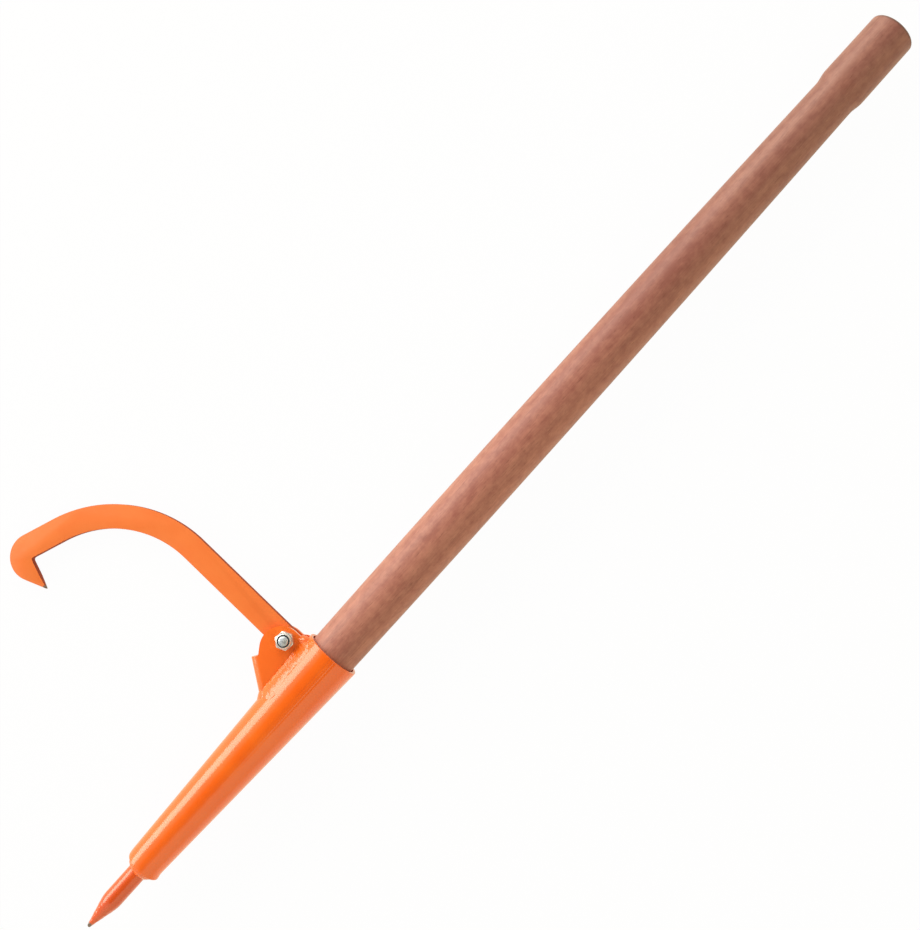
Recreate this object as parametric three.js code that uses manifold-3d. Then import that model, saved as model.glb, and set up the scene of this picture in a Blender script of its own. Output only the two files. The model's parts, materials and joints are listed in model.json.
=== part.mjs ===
// A 1.2 m peavey, the log-rolling tool: a turned wooden handle driven into a tapered
// steel socket with a spike, and a flat steel hook that swings on a bolt between the
// ears of a bent-plate bracket welded to the socket.
//
// Millimetres and radians. The tool is built along +X from spike to butt, with X = 0 at
// the mouth of the socket, the hook on the +Y side and +Z towards the viewer. At the end
// it is laid down on its mouth rim, its knob and the back of its hook.

import * as THREE from 'three';
import * as BufferGeometryUtils from 'three/addons/utils/BufferGeometryUtils.js';
import Module from 'manifold-3d';

const wasm = await Module();
wasm.setup();

// Clearances shared by all the fits
const seatGap = 0.3;           // between pieces that touch or are welded
const pivotGap = 0.3;          // around the bolt, on the radius
const hookPlay = 1;            // beside the hook's bar, on each face
const mouthGap = 1.5;          // open ring between the handle and the socket's mouth
const overrun = 5;             // how far a cutting shape runs past what it cuts

// Socket: a cone of rolled sheet
const socketLength = 286;
const socketMouthRadius = 29.5;
const socketEndRadius = 18.5;
const socketWall = 3.2;
const socketEndRounding = 2.5;
const mouthRimRounding = 0.8;

// Handle: one turned piece, with a tail inside the socket
const handleReach = 836;       // from the mouth to the butt
const handleMouthRadius = socketMouthRadius - socketWall - mouthGap;
const bellyRise = 1.1;         // the handle swells this much past the mouth
const bellyRadius = handleMouthRadius + bellyRise;
const bellyAt = 215;
const neckRadius = 22.4;
const neckAt = 746;
const knobRadius = 24.5;
const knobRise = 17;           // length of the flare from the neck to the knob
const buttRadius = 24.1;
const buttRounding = 3;
const tailClearance = 10;      // the tail stops this far short of the spike
const tailChamfer = 2;

// Spike: a pointed rod held by a collar in the small end of the socket
const spikeRadius = 9.9;
const spikeReach = 80.8;       // from the end of the socket to the tip
const spikePointLength = 34;
const spikeShoulderLength = 9; // the rounded run between rod and point
const spikeTipRadius = 1.9;
const spikeTail = 44;          // how far the rod runs into the socket
const collarLength = 14;
const spikeWeldUp = 8.6;       // leg of the ring weld along the rod
const spikeWeldOut = 6.2;      // leg of the ring weld over the end face

// Hook: flat bar, bent once and ending in a beak
const barWidth = 25;
const barThickness = 8;
const barEdgeBevel = 1;
const shankLength = 132;       // from the pivot to the start of the bend
const bendInnerRadius = 109;
const bendSweep = THREE.MathUtils.degToRad(71);
const hookReach = 34.8;        // straight run from the bend to the head
const throatSetback = 3.3;     // the inner corner lies this far past the head's centre
const throatRounding = 3;
const beakLength = 35.1;       // from the head's centre to the tip
const beakAngle = THREE.MathUtils.degToRad(245.3);
const beakGrindLength = 15;    // the tip is ground thinner on both faces
const beakTipThickness = 3;
const hookLean = THREE.MathUtils.degToRad(-1.2);

// Pivot of the hook, from the mouth and from the axis: its round end clears the socket
const eyeClearance = 2;
const pivotSetback = 21;
const pivotHeight = socketMouthRadius + barWidth / 2 + eyeClearance;

// Bracket: a plate bent into a U, two ears joined by a web
const plateThickness = 5;
const plateBendRadius = 3;     // inside the two folds between web and ears
const earGap = barThickness + 2 * hookPlay;
const webAngle = THREE.MathUtils.degToRad(55);
const webStandoff = 38.6;      // from the pivot to the outside of the web
const webTopDrop = 8.7;        // the web ends this far below the pivot, along its slope
const earRadius = 22;
const earCentreBack = 8.8;       // the ear's round lies towards the spike from the pivot
const earCentreDrop = 2.2;
const earStepLength = 8.6;     // the square end of the web, up to the ear

// Bolt, self-locking nut and its plastic ring: a 10 mm thread
const boltRadius = 5;
const hexAcrossFlats = 17;
const nutTurn = THREE.MathUtils.degToRad(22);
const boltHeadHeight = 6.4;
const boltChamfer = 1;
const boltProtrusion = 2.6;    // what shows of the thread past the nut
const nutHexHeight = 7.2;
const nutHeight = 10;
const insertWall = 1.7;        // of the plastic ring, from the thread out
const insertHeight = 2.2;
const crownWall = 0.9;         // of the nut, round the plastic ring
const crownLip = 0.7;
const chamferAngle = THREE.MathUtils.degToRad(30);

// Screw that keeps the handle in the socket, on the underside
const screwSetback = 62;
const screwAngle = THREE.MathUtils.degToRad(-50);
const screwRadius = 2.5;
const screwLength = 26;
const screwHeadRadius = 5.4;
const screwHeadHeight = 2.8;

// Weld beads: up is the leg on the piece, out the leg on the socket
const ripplePitch = 4.2;
const rippleShare = 0.09;
const beadEndShare = 0.35;
const spikeBulgeShare = 0.08;  // how far a bead's face swells past straight
const footBulgeShare = 0.1;
const toeBulgeShare = -0.06;   // this one is hollow
const heelBulgeShare = 0.12;
const footBeadUp = 4.4;
const footBeadOut = 7;
const footSwellShare = 0.3;    // each foot bead grows thicker near the mouth
const footSwellSetback = 11;
const footSwellLength = 8;
const toeBeadUp = 5;
const toeBeadOut = 10;
const heelBeadUp = 9.5;
const heelBeadOut = 6.8;
const heelBeadSpread = 2.6;    // the heel beads run this far past the ears
const beadSink = 1.2;          // beads start this far inside the socket and are cut back
const seamWidth = 5;
const seamHeight = 0.9;
const seamAngle = THREE.MathUtils.degToRad(-125);

// How finely round shapes are divided
const roundSegments = 48;
const boltSegments = 24;
const curveSteps = 12;
const cornerSteps = 4;
const beadFaceSteps = 4;
const stepsPerRipple = 3;

// Paint, steel, zinc, plastic and wood
const paint = { color: '#f2691c', roughness: 0.35, metalness: 0 };
const bareSteel = { color: '#5d5653', roughness: 0.5, metalness: 0.9 };
const zinc = { color: '#c9ccd1', roughness: 0.3, metalness: 1 };
const plastic = { color: '#3d4654', roughness: 0.6, metalness: 0 };
const wood = { color: '#a4674f', roughness: 0.75, metalness: 0 };

// Closed geometry to a solid for cutting and joining, and back
function toSolid(geometry) {
  const bare = geometry.clone();
  bare.deleteAttribute('normal');
  bare.deleteAttribute('uv');
  const merged = BufferGeometryUtils.mergeVertices(bare);
  return new wasm.Manifold(new wasm.Mesh({
    numProp: 3,
    vertProperties: new Float32Array(merged.attributes.position.array),
    triVerts: new Uint32Array(merged.index.array),
  }));
}

function toGeometry(solid) {
  const cut = solid.getMesh();
  const geometry = new THREE.BufferGeometry();
  geometry.setAttribute('position', new THREE.BufferAttribute(cut.vertProperties, 3));
  geometry.setIndex(new THREE.BufferAttribute(cut.triVerts, 1));
  geometry.computeVertexNormals();
  return geometry;
}

// A revolved shape about X, from a profile of [x, radius] pairs that runs along +X
function revolveX(profile, segments = roundSegments) {
  const points = profile.map(([x, radius]) => new THREE.Vector2(radius, x));
  return new THREE.LatheGeometry(points, segments).rotateZ(-Math.PI / 2);
}

// A revolved shape about Z, from a profile of [z, radius] pairs that runs along +Z
function revolveZ(profile, segments = boltSegments) {
  const points = profile.map(([z, radius]) => new THREE.Vector2(radius, z));
  return new THREE.LatheGeometry(points, segments).rotateX(Math.PI / 2);
}

// A quarter round between two points of a profile, bulging towards the corner
function rounding([x0, r0], [cornerX, cornerRadius], [x1, r1], steps = 4) {
  const curve = new THREE.QuadraticBezierCurve(
    new THREE.Vector2(x0, r0),
    new THREE.Vector2(cornerX, cornerRadius),
    new THREE.Vector2(x1, r1),
  );
  return curve.getPoints(steps).map((point) => [point.x, point.y]);
}

// A closed skin over a row of rings, with its faces turned outwards; a wrapped one
// joins its last ring to its first
function loft(rings, wrapped = false) {
  const size = rings[0].length;
  const index = [];
  const spans = wrapped ? rings.length : rings.length - 1;
  for (let i = 0; i < spans; i++) {
    const here = i * size;
    const next = ((i + 1) % rings.length) * size;
    for (let j = 0; j < size; j++) {
      const k = (j + 1) % size;
      index.push(here + j, next + k, next + j);
      index.push(here + j, here + k, next + k);
    }
  }
  if (!wrapped) {
    const last = (rings.length - 1) * size;
    for (let j = 1; j < size - 1; j++) {
      index.push(0, j + 1, j);
      index.push(last, last + j, last + j + 1);
    }
  }
  const points = rings.flat();
  let volume = 0;
  for (let i = 0; i < index.length; i += 3) {
    const [a, b, c] = index.slice(i, i + 3).map((corner) => points[corner]);
    volume += a.dot(b.clone().cross(c));
  }
  if (volume < 0) {
    index.reverse();
  }
  const geometry = new THREE.BufferGeometry().setFromPoints(points);
  geometry.setIndex(index);
  geometry.computeVertexNormals();
  return geometry;
}

// The socket's outside and bore at a place along the axis
const socketTaper = (socketMouthRadius - socketEndRadius) / socketLength;

function socketRadiusAt(x) {
  return socketMouthRadius + socketTaper * x;
}

function boreRadiusAt(x) {
  return socketRadiusAt(x) - socketWall;
}

// The socket with its welding gap, as a shape to cut what stands on it
function socketCutter() {
  const start = -socketLength - overrun;
  return toSolid(revolveX([
    [start, 0],
    [start, socketRadiusAt(start) + seatGap],
    [overrun, socketRadiusAt(overrun) + seatGap],
    [overrun, 0],
  ]));
}

// One cross-section of a weld bead in the corner between two faces
function beadRing(corner, up, out, upLeg, outLeg, bulge) {
  const ring = [corner.clone()];
  for (let i = 0; i <= beadFaceSteps; i++) {
    const u = i / beadFaceSteps;
    const swell = bulge * 4 * u * (1 - u);
    const point = corner.clone();
    point.addScaledVector(up, upLeg * (1 - u + swell));
    point.addScaledVector(out, outLeg * (u + swell));
    ring.push(point);
  }
  return ring;
}

// A straight bead from one corner point to another, with ripples and drawn-in ends;
// girthAt says how thick it is at each corner point
function straightBead(from, to, up, out, upLeg, outLeg, bulge, girthAt = () => 1) {
  const ripples = Math.max(1, Math.round(from.distanceTo(to) / ripplePitch));
  const stations = ripples * stepsPerRipple;
  const rings = [];
  for (let i = 0; i <= stations; i++) {
    const t = i / stations;
    const ending = Math.max(beadEndShare, Math.sin(Math.PI * t) ** (1 / 4));
    const size = ending * (1 - rippleShare * Math.cos(2 * Math.PI * t * ripples));
    const corner = from.clone().lerp(to, t);
    const girth = size * girthAt(corner);
    rings.push(beadRing(corner, up, out, upLeg * girth, outLeg * girth, bulge));
  }
  return loft(rings);
}

// The handle screw is modelled along +Z, with Z = 0 on the axis, and turned into place
const screwPlace = new THREE.Matrix4()
  .makeRotationX(screwAngle - Math.PI / 2)
  .setPosition(-screwSetback, 0, 0);

function screwHole() {
  const start = screwSeatRadius() - screwLength - seatGap;
  return toSolid(revolveZ([
    [start, 0],
    [start, screwRadius + seatGap],
    [socketMouthRadius + overrun, screwRadius + seatGap],
    [socketMouthRadius + overrun, 0],
  ]).applyMatrix4(screwPlace));
}

function screwSeatRadius() {
  return socketRadiusAt(-screwSetback) + seatGap;
}

function handleGeometry() {
  const tailStart = -socketLength + spikeTail + tailClearance;
  const tailRadiusAt = (x) => boreRadiusAt(x) - seatGap;
  const taperTop = (handleMouthRadius - tailRadiusAt(0)) / socketTaper;
  const profile = [
    [tailStart, 0],
    [tailStart, tailRadiusAt(tailStart) - tailChamfer],
    [tailStart + tailChamfer, tailRadiusAt(tailStart + tailChamfer)],
    [taperTop, handleMouthRadius],
  ];
  // Two long parabolas fall from the belly, to the mouth and to the neck
  const bellyFall = bellyRadius - handleMouthRadius;
  for (let i = 0; i <= curveSteps / 2; i++) {
    const t = i / (curveSteps / 2);
    profile.push([bellyAt * t, bellyRadius - bellyFall * (1 - t) ** 2]);
  }
  const neckFall = bellyRadius - neckRadius;
  for (let i = 1; i <= curveSteps; i++) {
    const t = i / curveSteps;
    profile.push([bellyAt + (neckAt - bellyAt) * t, bellyRadius - neckFall * t ** 2]);
  }
  // The flare is an S between neck and knob
  for (let i = 1; i <= curveSteps / 2; i++) {
    const t = i / (curveSteps / 2);
    const rise = (1 - Math.cos(Math.PI * t)) / 2;
    profile.push([neckAt + knobRise * t, neckRadius + (knobRadius - neckRadius) * rise]);
  }
  profile.push(...rounding(
    [handleReach - buttRounding, buttRadius],
    [handleReach, buttRadius],
    [handleReach, buttRadius - buttRounding],
  ));
  profile.push([handleReach, 0]);
  return toGeometry(toSolid(revolveX(profile)).subtract(screwHole()));
}

function socketGeometry() {
  const end = -socketLength;
  const outside = [
    ...rounding(
      [end, socketEndRadius - socketEndRounding],
      [end, socketEndRadius],
      [end + socketEndRounding, socketRadiusAt(end + socketEndRounding)],
    ),
    ...rounding(
      [-mouthRimRounding, socketRadiusAt(-mouthRimRounding)],
      [0, socketMouthRadius],
      [0, socketMouthRadius - mouthRimRounding],
      2,
    ),
  ];
  const profile = [
    [end, boreRadiusAt(end)],
    ...outside,
    [0, boreRadiusAt(0)],
    [end, boreRadiusAt(end)],
  ];
  return toGeometry(toSolid(revolveX(profile)).subtract(screwHole()));
}

function socketSeamGeometry() {
  const end = -socketLength + socketEndRounding;
  const start = -mouthRimRounding;
  const top = new THREE.Vector3(0, Math.cos(seamAngle), Math.sin(seamAngle));
  const side = new THREE.Vector3(0, -Math.sin(seamAngle), Math.cos(seamAngle));
  const steps = curveSteps * 2;
  const rings = [];
  for (let i = 0; i <= steps; i++) {
    const x = THREE.MathUtils.lerp(end, start, i / steps);
    const foot = top.clone().multiplyScalar(socketRadiusAt(x) - beadSink);
    foot.x = x;
    const ring = [];
    for (let j = 0; j <= beadFaceSteps; j++) {
      const u = j / beadFaceSteps;
      const height = (seamHeight + beadSink) * Math.sqrt(4 * u * (1 - u));
      const point = foot.clone().addScaledVector(side, seamWidth * (u - 1 / 2));
      ring.push(point.addScaledVector(top, height));
    }
    rings.push(ring);
  }
  return toGeometry(toSolid(loft(rings)).subtract(socketCutter()));
}

function collarGeometry() {
  const start = -socketLength;
  const end = start + collarLength;
  const bore = spikeRadius + seatGap;
  return revolveX([
    [start, bore],
    [start, boreRadiusAt(start) - seatGap],
    [end, boreRadiusAt(end) - seatGap],
    [end, bore],
    [start, bore],
  ]);
}

function spikeGeometry() {
  const tip = -socketLength - spikeReach;
  const shoulder = tip + spikePointLength;
  const slope = (spikeRadius - spikeTipRadius) / (spikePointLength - spikeTipRadius);
  const half = spikeShoulderLength / 2;
  const end = -socketLength + spikeTail;
  return revolveX([
    [tip, 0],
    ...rounding(
      [tip, spikeTipRadius / 4],
      [tip, spikeTipRadius],
      [tip + spikeTipRadius, spikeTipRadius],
      3,
    ),
    ...rounding(
      [shoulder - half, spikeRadius - half * slope],
      [shoulder, spikeRadius],
      [shoulder + half, spikeRadius],
    ),
    [end, spikeRadius],
    [end, 0],
  ]);
}

function spikeWeldGeometry() {
  const around = 2 * Math.PI * (spikeRadius + spikeWeldOut);
  const ripples = Math.round(around / ripplePitch);
  const stations = ripples * stepsPerRipple;
  const rings = [];
  for (let i = 0; i < stations; i++) {
    const angle = 2 * Math.PI * i / stations;
    const size = 1 - rippleShare * Math.cos(angle * ripples);
    const out = new THREE.Vector3(0, Math.cos(angle), Math.sin(angle));
    const corner = out.clone().multiplyScalar(spikeRadius + seatGap);
    corner.x = -socketLength - seatGap;
    const up = new THREE.Vector3(-1, 0, 0);
    rings.push(
      beadRing(corner, up, out, spikeWeldUp * size, spikeWeldOut * size, spikeBulgeShare),
    );
  }
  return loft(rings, true);
}

// Directions of the web seen from +Z: up its slope, and from its outside to the pivot
const webUp = new THREE.Vector3(Math.cos(webAngle), Math.sin(webAngle), 0);
const webInward = new THREE.Vector3(Math.sin(webAngle), -Math.cos(webAngle), 0);
const bracketHalfWidth = earGap / 2 + plateThickness;
const bendOuterRadius = plateBendRadius + plateThickness;
const pivot = new THREE.Vector3(-pivotSetback, pivotHeight, 0);
const webTop = pivot.clone()
  .addScaledVector(webInward, -webStandoff)
  .addScaledVector(webUp, -webTopDrop);
const earEndX = -pivotSetback - earCentreBack + earRadius;

// Where the outside of the web meets the ridge of the socket
const webClimb = webUp.y - socketTaper * webUp.x;
const webFoot = webTop.clone()
  .addScaledVector(webUp, (socketRadiusAt(webTop.x) - webTop.y) / webClimb);

// The bracket's side view, run down past the socket's surface
function earOutline() {
  const centre = new THREE.Vector2(
    -pivotSetback - earCentreBack,
    pivotHeight - earCentreDrop,
  );
  const step = webTop.clone().addScaledVector(webInward, earStepLength);
  const offset = new THREE.Vector2(step.x - centre.x, step.y - centre.y);
  const touch = offset.angle() - Math.acos(earRadius / offset.length());
  const foot = webTop.clone().addScaledVector(webUp, -pivotHeight);
  const outline = new THREE.Shape();
  outline.moveTo(webTop.x, webTop.y);
  outline.lineTo(foot.x, foot.y);
  outline.lineTo(earEndX, foot.y);
  outline.lineTo(earEndX, centre.y);
  outline.absarc(centre.x, centre.y, earRadius, 0, touch, false);
  outline.lineTo(step.x, step.y);
  outline.closePath();
  return outline;
}

// The bent plate's cross-section: a U that opens towards the pivot
function channelSection() {
  const outer = bracketHalfWidth;
  const inner = earGap / 2;
  const bendCentre = outer - bendOuterRadius;
  const flange = webStandoff + earRadius + overrun;
  const section = new THREE.Shape();
  section.moveTo(flange, outer);
  section.lineTo(bendOuterRadius, outer);
  section.absarc(bendOuterRadius, bendCentre, bendOuterRadius, Math.PI / 2, Math.PI, false);
  section.absarc(bendOuterRadius, -bendCentre, bendOuterRadius, Math.PI, Math.PI * 1.5, false);
  section.lineTo(flange, -outer);
  section.lineTo(flange, -inner);
  section.absarc(bendOuterRadius, -bendCentre, plateBendRadius, Math.PI * 1.5, Math.PI, true);
  section.absarc(bendOuterRadius, bendCentre, plateBendRadius, Math.PI, Math.PI / 2, true);
  section.lineTo(flange, inner);
  section.closePath();
  return section;
}

function bracketGeometry() {
  const above = 2 * earRadius;
  const length = above + 2 * pivotHeight;
  const across = new THREE.Vector3(0, 0, 1);
  const down = webUp.clone().negate();
  const start = webTop.clone().addScaledVector(webUp, above);
  const place = new THREE.Matrix4().makeBasis(webInward, across, down).setPosition(start);
  const channel = new THREE.ExtrudeGeometry(channelSection(), {
    depth: length,
    bevelEnabled: false,
    curveSegments: 6,
  }).applyMatrix4(place);

  const width = 2 * (bracketHalfWidth + overrun);
  const profile = new THREE.ExtrudeGeometry(earOutline(), {
    depth: width,
    bevelEnabled: false,
    curveSegments: 20,
  }).translate(0, 0, -width / 2);

  const hole = revolveZ([
    [-width, 0],
    [-width, boltRadius + pivotGap],
    [width, boltRadius + pivotGap],
    [width, 0],
  ]).translate(pivot.x, pivot.y, 0);

  return toGeometry(toSolid(channel)
    .intersect(toSolid(profile))
    .subtract(socketCutter())
    .subtract(toSolid(hole)));
}

// Beads along the feet of the ears; side is 1 for the front ear and -1 for the back one
function footBeadGeometry(side) {
  const face = bracketHalfWidth + seatGap;
  const startX = webFoot.x + bendOuterRadius;
  const footAt = (x) => new THREE.Vector3(
    x,
    Math.sqrt(socketRadiusAt(x) ** 2 - face ** 2) - beadSink,
    side * face,
  );
  const up = new THREE.Vector3(0, 1, 0);
  const slope = Math.asin(face / socketMouthRadius) + Math.atan(footBeadOut / socketMouthRadius);
  const out = new THREE.Vector3(0, -Math.sin(slope), side * Math.cos(slope));
  const swellX = earEndX - footSwellSetback;
  const girthAt = (corner) => {
    const away = (corner.x - swellX) / footSwellLength;
    return 1 + footSwellShare * Math.exp(-(away ** 2));
  };
  const bead = straightBead(
    footAt(startX), footAt(earEndX),
    up, out, footBeadUp + beadSink, footBeadOut, footBulgeShare, girthAt,
  );
  return toGeometry(toSolid(bead).subtract(socketCutter()));
}

// The fillet in front of the web, tipped so that its toe reaches under the socket's skin
function toeBeadGeometry() {
  const toeDip = Math.atan(beadSink / toeBeadOut);
  const corner = webFoot.clone().addScaledVector(webInward, -seatGap);
  corner.addScaledVector(webUp, -beadSink);
  const reach = new THREE.Vector3(0, 0, bracketHalfWidth - plateThickness / 2);
  const down = new THREE.Vector3(-Math.cos(toeDip), -Math.sin(toeDip), 0);
  const bead = straightBead(
    corner.clone().sub(reach), corner.clone().add(reach),
    webUp, down, toeBeadUp + beadSink, toeBeadOut, toeBulgeShare,
  );
  return toGeometry(toSolid(bead).subtract(socketCutter()));
}

// The thick beads that close the ends of the ears, up to the mouth rim
function heelBeadGeometry(side) {
  const x = earEndX + seatGap;
  const middle = side * (earGap + plateThickness) / 2;
  const reach = plateThickness / 2 + heelBeadSpread;
  const cornerAt = (z) => new THREE.Vector3(
    x,
    Math.sqrt(socketRadiusAt(x) ** 2 - z ** 2) - beadSink,
    z,
  );
  const up = new THREE.Vector3(0, 1, 0);
  const out = new THREE.Vector3(1, 0, 0);
  const inner = middle - side * plateThickness / 2;
  const bead = straightBead(
    cornerAt(inner), cornerAt(middle + side * reach),
    up, out, heelBeadUp, heelBeadOut, heelBulgeShare,
  );
  return toGeometry(toSolid(bead).subtract(socketCutter()));
}

// The hook's outline in its own frame: pivot at the origin, shank along +Y
function hookOutline() {
  const half = barWidth / 2;
  const bendCentre = new THREE.Vector2(-half - bendInnerRadius, shankLength);
  const along = new THREE.Vector2(-Math.sin(bendSweep), Math.cos(bendSweep));
  const across = new THREE.Vector2(Math.cos(bendSweep), Math.sin(bendSweep));
  const bendEnd = bendCentre.clone().addScaledVector(across, bendInnerRadius);
  const head = headCentre();
  const throat = head.clone().addScaledVector(along, throatSetback);
  const tip = beakTip();
  const tangent = beakAngle - Math.acos(barWidth / beakLength);
  const leaving = new THREE.Vector2(Math.cos(tangent), Math.sin(tangent))
    .multiplyScalar(barWidth).add(head);

  const outline = new THREE.Shape();
  outline.moveTo(half, 0);
  outline.lineTo(half, shankLength);
  outline.absarc(bendCentre.x, bendCentre.y, bendInnerRadius + barWidth, 0, bendSweep, false);
  outline.absarc(head.x, head.y, barWidth, bendSweep, tangent, false);
  outline.lineTo(leaving.x, leaving.y);
  outline.lineTo(tip.x, tip.y);
  roundedCorner(outline, tip, throat, bendEnd, throatRounding);
  outline.absarc(bendCentre.x, bendCentre.y, bendInnerRadius, bendSweep, 0, true);
  outline.lineTo(-half, 0);
  outline.absarc(0, 0, half, Math.PI, 2 * Math.PI, false);
  const eye = new THREE.Path();
  eye.absarc(0, 0, boltRadius + pivotGap, 0, 2 * Math.PI, false);
  outline.holes.push(eye);
  return outline;
}

// The centre of the hook's round head, on the inner edge of the bar
function headCentre() {
  const half = barWidth / 2;
  const bendCentre = new THREE.Vector2(-half - bendInnerRadius, shankLength);
  const along = new THREE.Vector2(-Math.sin(bendSweep), Math.cos(bendSweep));
  const across = new THREE.Vector2(Math.cos(bendSweep), Math.sin(bendSweep));
  return bendCentre.addScaledVector(across, bendInnerRadius).addScaledVector(along, hookReach);
}

function beakTip() {
  const out = new THREE.Vector2(Math.cos(beakAngle), Math.sin(beakAngle));
  return headCentre().addScaledVector(out, beakLength);
}

// Runs an outline round a corner, by a curve that starts one rounding before it
function roundedCorner(outline, before, corner, after, radius) {
  const arriving = before.clone().sub(corner).setLength(radius).add(corner);
  const leaving = after.clone().sub(corner).setLength(radius).add(corner);
  const curve = new THREE.QuadraticBezierCurve(arriving, corner, leaving);
  for (const point of curve.getPoints(cornerSteps)) {
    outline.lineTo(point.x, point.y);
  }
}

// A wedge that grinds one face of the beak thinner towards its tip
function beakGrinder(face) {
  const high = barThickness / 2 + overrun;
  const rise = (barThickness - beakTipThickness) / 2 * overrun / beakGrindLength;
  const wedge = new THREE.Shape();
  wedge.moveTo(-overrun, beakTipThickness / 2 - rise);
  wedge.lineTo(beakGrindLength, barThickness / 2);
  wedge.lineTo(beakGrindLength, high);
  wedge.lineTo(-overrun, high);
  wedge.closePath();
  const inward = new THREE.Vector3(-Math.cos(beakAngle), -Math.sin(beakAngle), 0);
  const up = new THREE.Vector3(0, 0, face);
  const across = inward.clone().cross(up);
  const tip = beakTip();
  const start = new THREE.Vector3(tip.x, tip.y, 0).addScaledVector(across, -barWidth);
  const place = new THREE.Matrix4().makeBasis(inward, up, across).setPosition(start);
  return toSolid(new THREE.ExtrudeGeometry(wedge, {
    depth: 2 * barWidth,
    bevelEnabled: false,
  }).applyMatrix4(place));
}

function hookGeometry() {
  const bar = new THREE.ExtrudeGeometry(hookOutline(), {
    depth: barThickness - 2 * barEdgeBevel,
    bevelThickness: barEdgeBevel,
    bevelSize: barEdgeBevel,
    bevelOffset: -barEdgeBevel,
    bevelSegments: 1,
    curveSegments: 18,
  }).translate(0, 0, -barThickness / 2 + barEdgeBevel);
  return toGeometry(toSolid(bar).subtract(beakGrinder(1)).subtract(beakGrinder(-1)));
}

// A hexagon from z0 to z1 with the corners turned off at one end or both
function hexSolid(z0, z1, lowChamfer, highChamfer) {
  const cornerRadius = hexAcrossFlats / Math.sqrt(3);
  const flatRadius = hexAcrossFlats / 2;
  const drop = (cornerRadius - flatRadius) * Math.tan(chamferAngle);
  const prism = new THREE.CylinderGeometry(cornerRadius, cornerRadius, z1 - z0, 6)
    .rotateX(Math.PI / 2)
    .translate(0, 0, (z0 + z1) / 2);
  const turned = revolveZ([
    [z0, 0],
    [z0, lowChamfer ? flatRadius : cornerRadius],
    [z0 + drop, cornerRadius + seatGap],
    [z1 - drop, cornerRadius + seatGap],
    [z1, highChamfer ? flatRadius : cornerRadius],
    [z1, 0],
  ]);
  return toSolid(prism).intersect(toSolid(turned));
}

function boltGeometry() {
  const seat = -bracketHalfWidth - seatGap;
  const end = bracketHalfWidth + seatGap + nutHeight + boltProtrusion;
  const head = hexSolid(seat - boltHeadHeight, seat, true, false);
  const shank = revolveZ([
    [seat - boltHeadHeight / 2, 0],
    [seat - boltHeadHeight / 2, boltRadius],
    [end - boltChamfer, boltRadius],
    [end, boltRadius - boltChamfer],
    [end, 0],
  ]);
  return toGeometry(head.add(toSolid(shank)));
}

const insertRadius = boltRadius + insertWall;

function nutGeometry() {
  const seat = bracketHalfWidth + seatGap;
  const crownRadius = insertRadius + crownWall;
  const hex = hexSolid(seat, seat + nutHexHeight, true, true);
  const crown = revolveZ([
    [seat + nutHexHeight / 2, 0],
    [seat + nutHexHeight / 2, crownRadius],
    [seat + nutHeight - crownLip, crownRadius],
    [seat + nutHeight, crownRadius - crownLip],
    [seat + nutHeight, 0],
  ]);
  const ledge = seat + nutHeight - crownLip;
  const bore = revolveZ([
    [seat - overrun, 0],
    [seat - overrun, boltRadius + pivotGap],
    [ledge - insertHeight - 2 * seatGap, boltRadius + pivotGap],
    [ledge - insertHeight - 2 * seatGap, insertRadius],
    [ledge, insertRadius],
    [ledge, insertRadius - crownLip],
    [seat + nutHeight + overrun, insertRadius - crownLip],
    [seat + nutHeight + overrun, 0],
  ]);
  return toGeometry(hex.add(toSolid(crown)).subtract(toSolid(bore)));
}

function insertGeometry() {
  const top = bracketHalfWidth + nutHeight - crownLip;
  return revolveZ([
    [top - insertHeight, boltRadius + pivotGap],
    [top - insertHeight, insertRadius - seatGap],
    [top, insertRadius - seatGap],
    [top, boltRadius + pivotGap],
    [top - insertHeight, boltRadius + pivotGap],
  ]);
}

function screwGeometry() {
  const seat = screwSeatRadius();
  return revolveZ([
    [seat - screwLength, 0],
    [seat - screwRadius, screwRadius],
    [seat, screwRadius],
    [seat, screwHeadRadius],
    [seat + screwHeadHeight / 2, screwHeadRadius],
    ...rounding(
      [seat + screwHeadHeight / 2, screwHeadRadius],
      [seat + screwHeadHeight, screwHeadRadius * 3 / 4],
      [seat + screwHeadHeight, 0],
    ).slice(1),
  ]);
}

function piece(name, geometry, finish) {
  const mesh = new THREE.Mesh(geometry, new THREE.MeshStandardMaterial(finish));
  mesh.name = name;
  return mesh;
}

// The haft: everything that is driven, welded or screwed together
const haft = new THREE.Group();
haft.add(
  piece('handle', handleGeometry(), wood),
  piece('socket', socketGeometry(), paint),
  piece('socket_seam_weld', socketSeamGeometry(), paint),
  piece('spike_collar', collarGeometry(), bareSteel),
  piece('spike', spikeGeometry(), paint),
  piece('spike_weld', spikeWeldGeometry(), paint),
  piece('hook_bracket', bracketGeometry(), paint),
  piece('bracket_weld_front', footBeadGeometry(1), paint),
  piece('bracket_weld_back', footBeadGeometry(-1), paint),
  piece('bracket_weld_toe', toeBeadGeometry(), paint),
  piece('bracket_weld_heel_front', heelBeadGeometry(1), paint),
  piece('bracket_weld_heel_back', heelBeadGeometry(-1), paint),
);

const handleScrew = piece('handle_screw', screwGeometry(), zinc);
handleScrew.applyMatrix4(screwPlace);
haft.add(handleScrew);

// The pivot: bolt, nut and ring share its place, and the hook swings about it
const pivotGroup = new THREE.Group();
pivotGroup.position.copy(pivot);
const hook = piece('hook', hookGeometry(), paint);
hook.rotation.z = hookLean;
const nut = piece('lock_nut', nutGeometry(), zinc);
nut.rotation.z = nutTurn;
pivotGroup.add(
  piece('pivot_bolt', boltGeometry(), zinc),
  nut,
  piece('nut_insert', insertGeometry(), plastic),
  hook,
);

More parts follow.
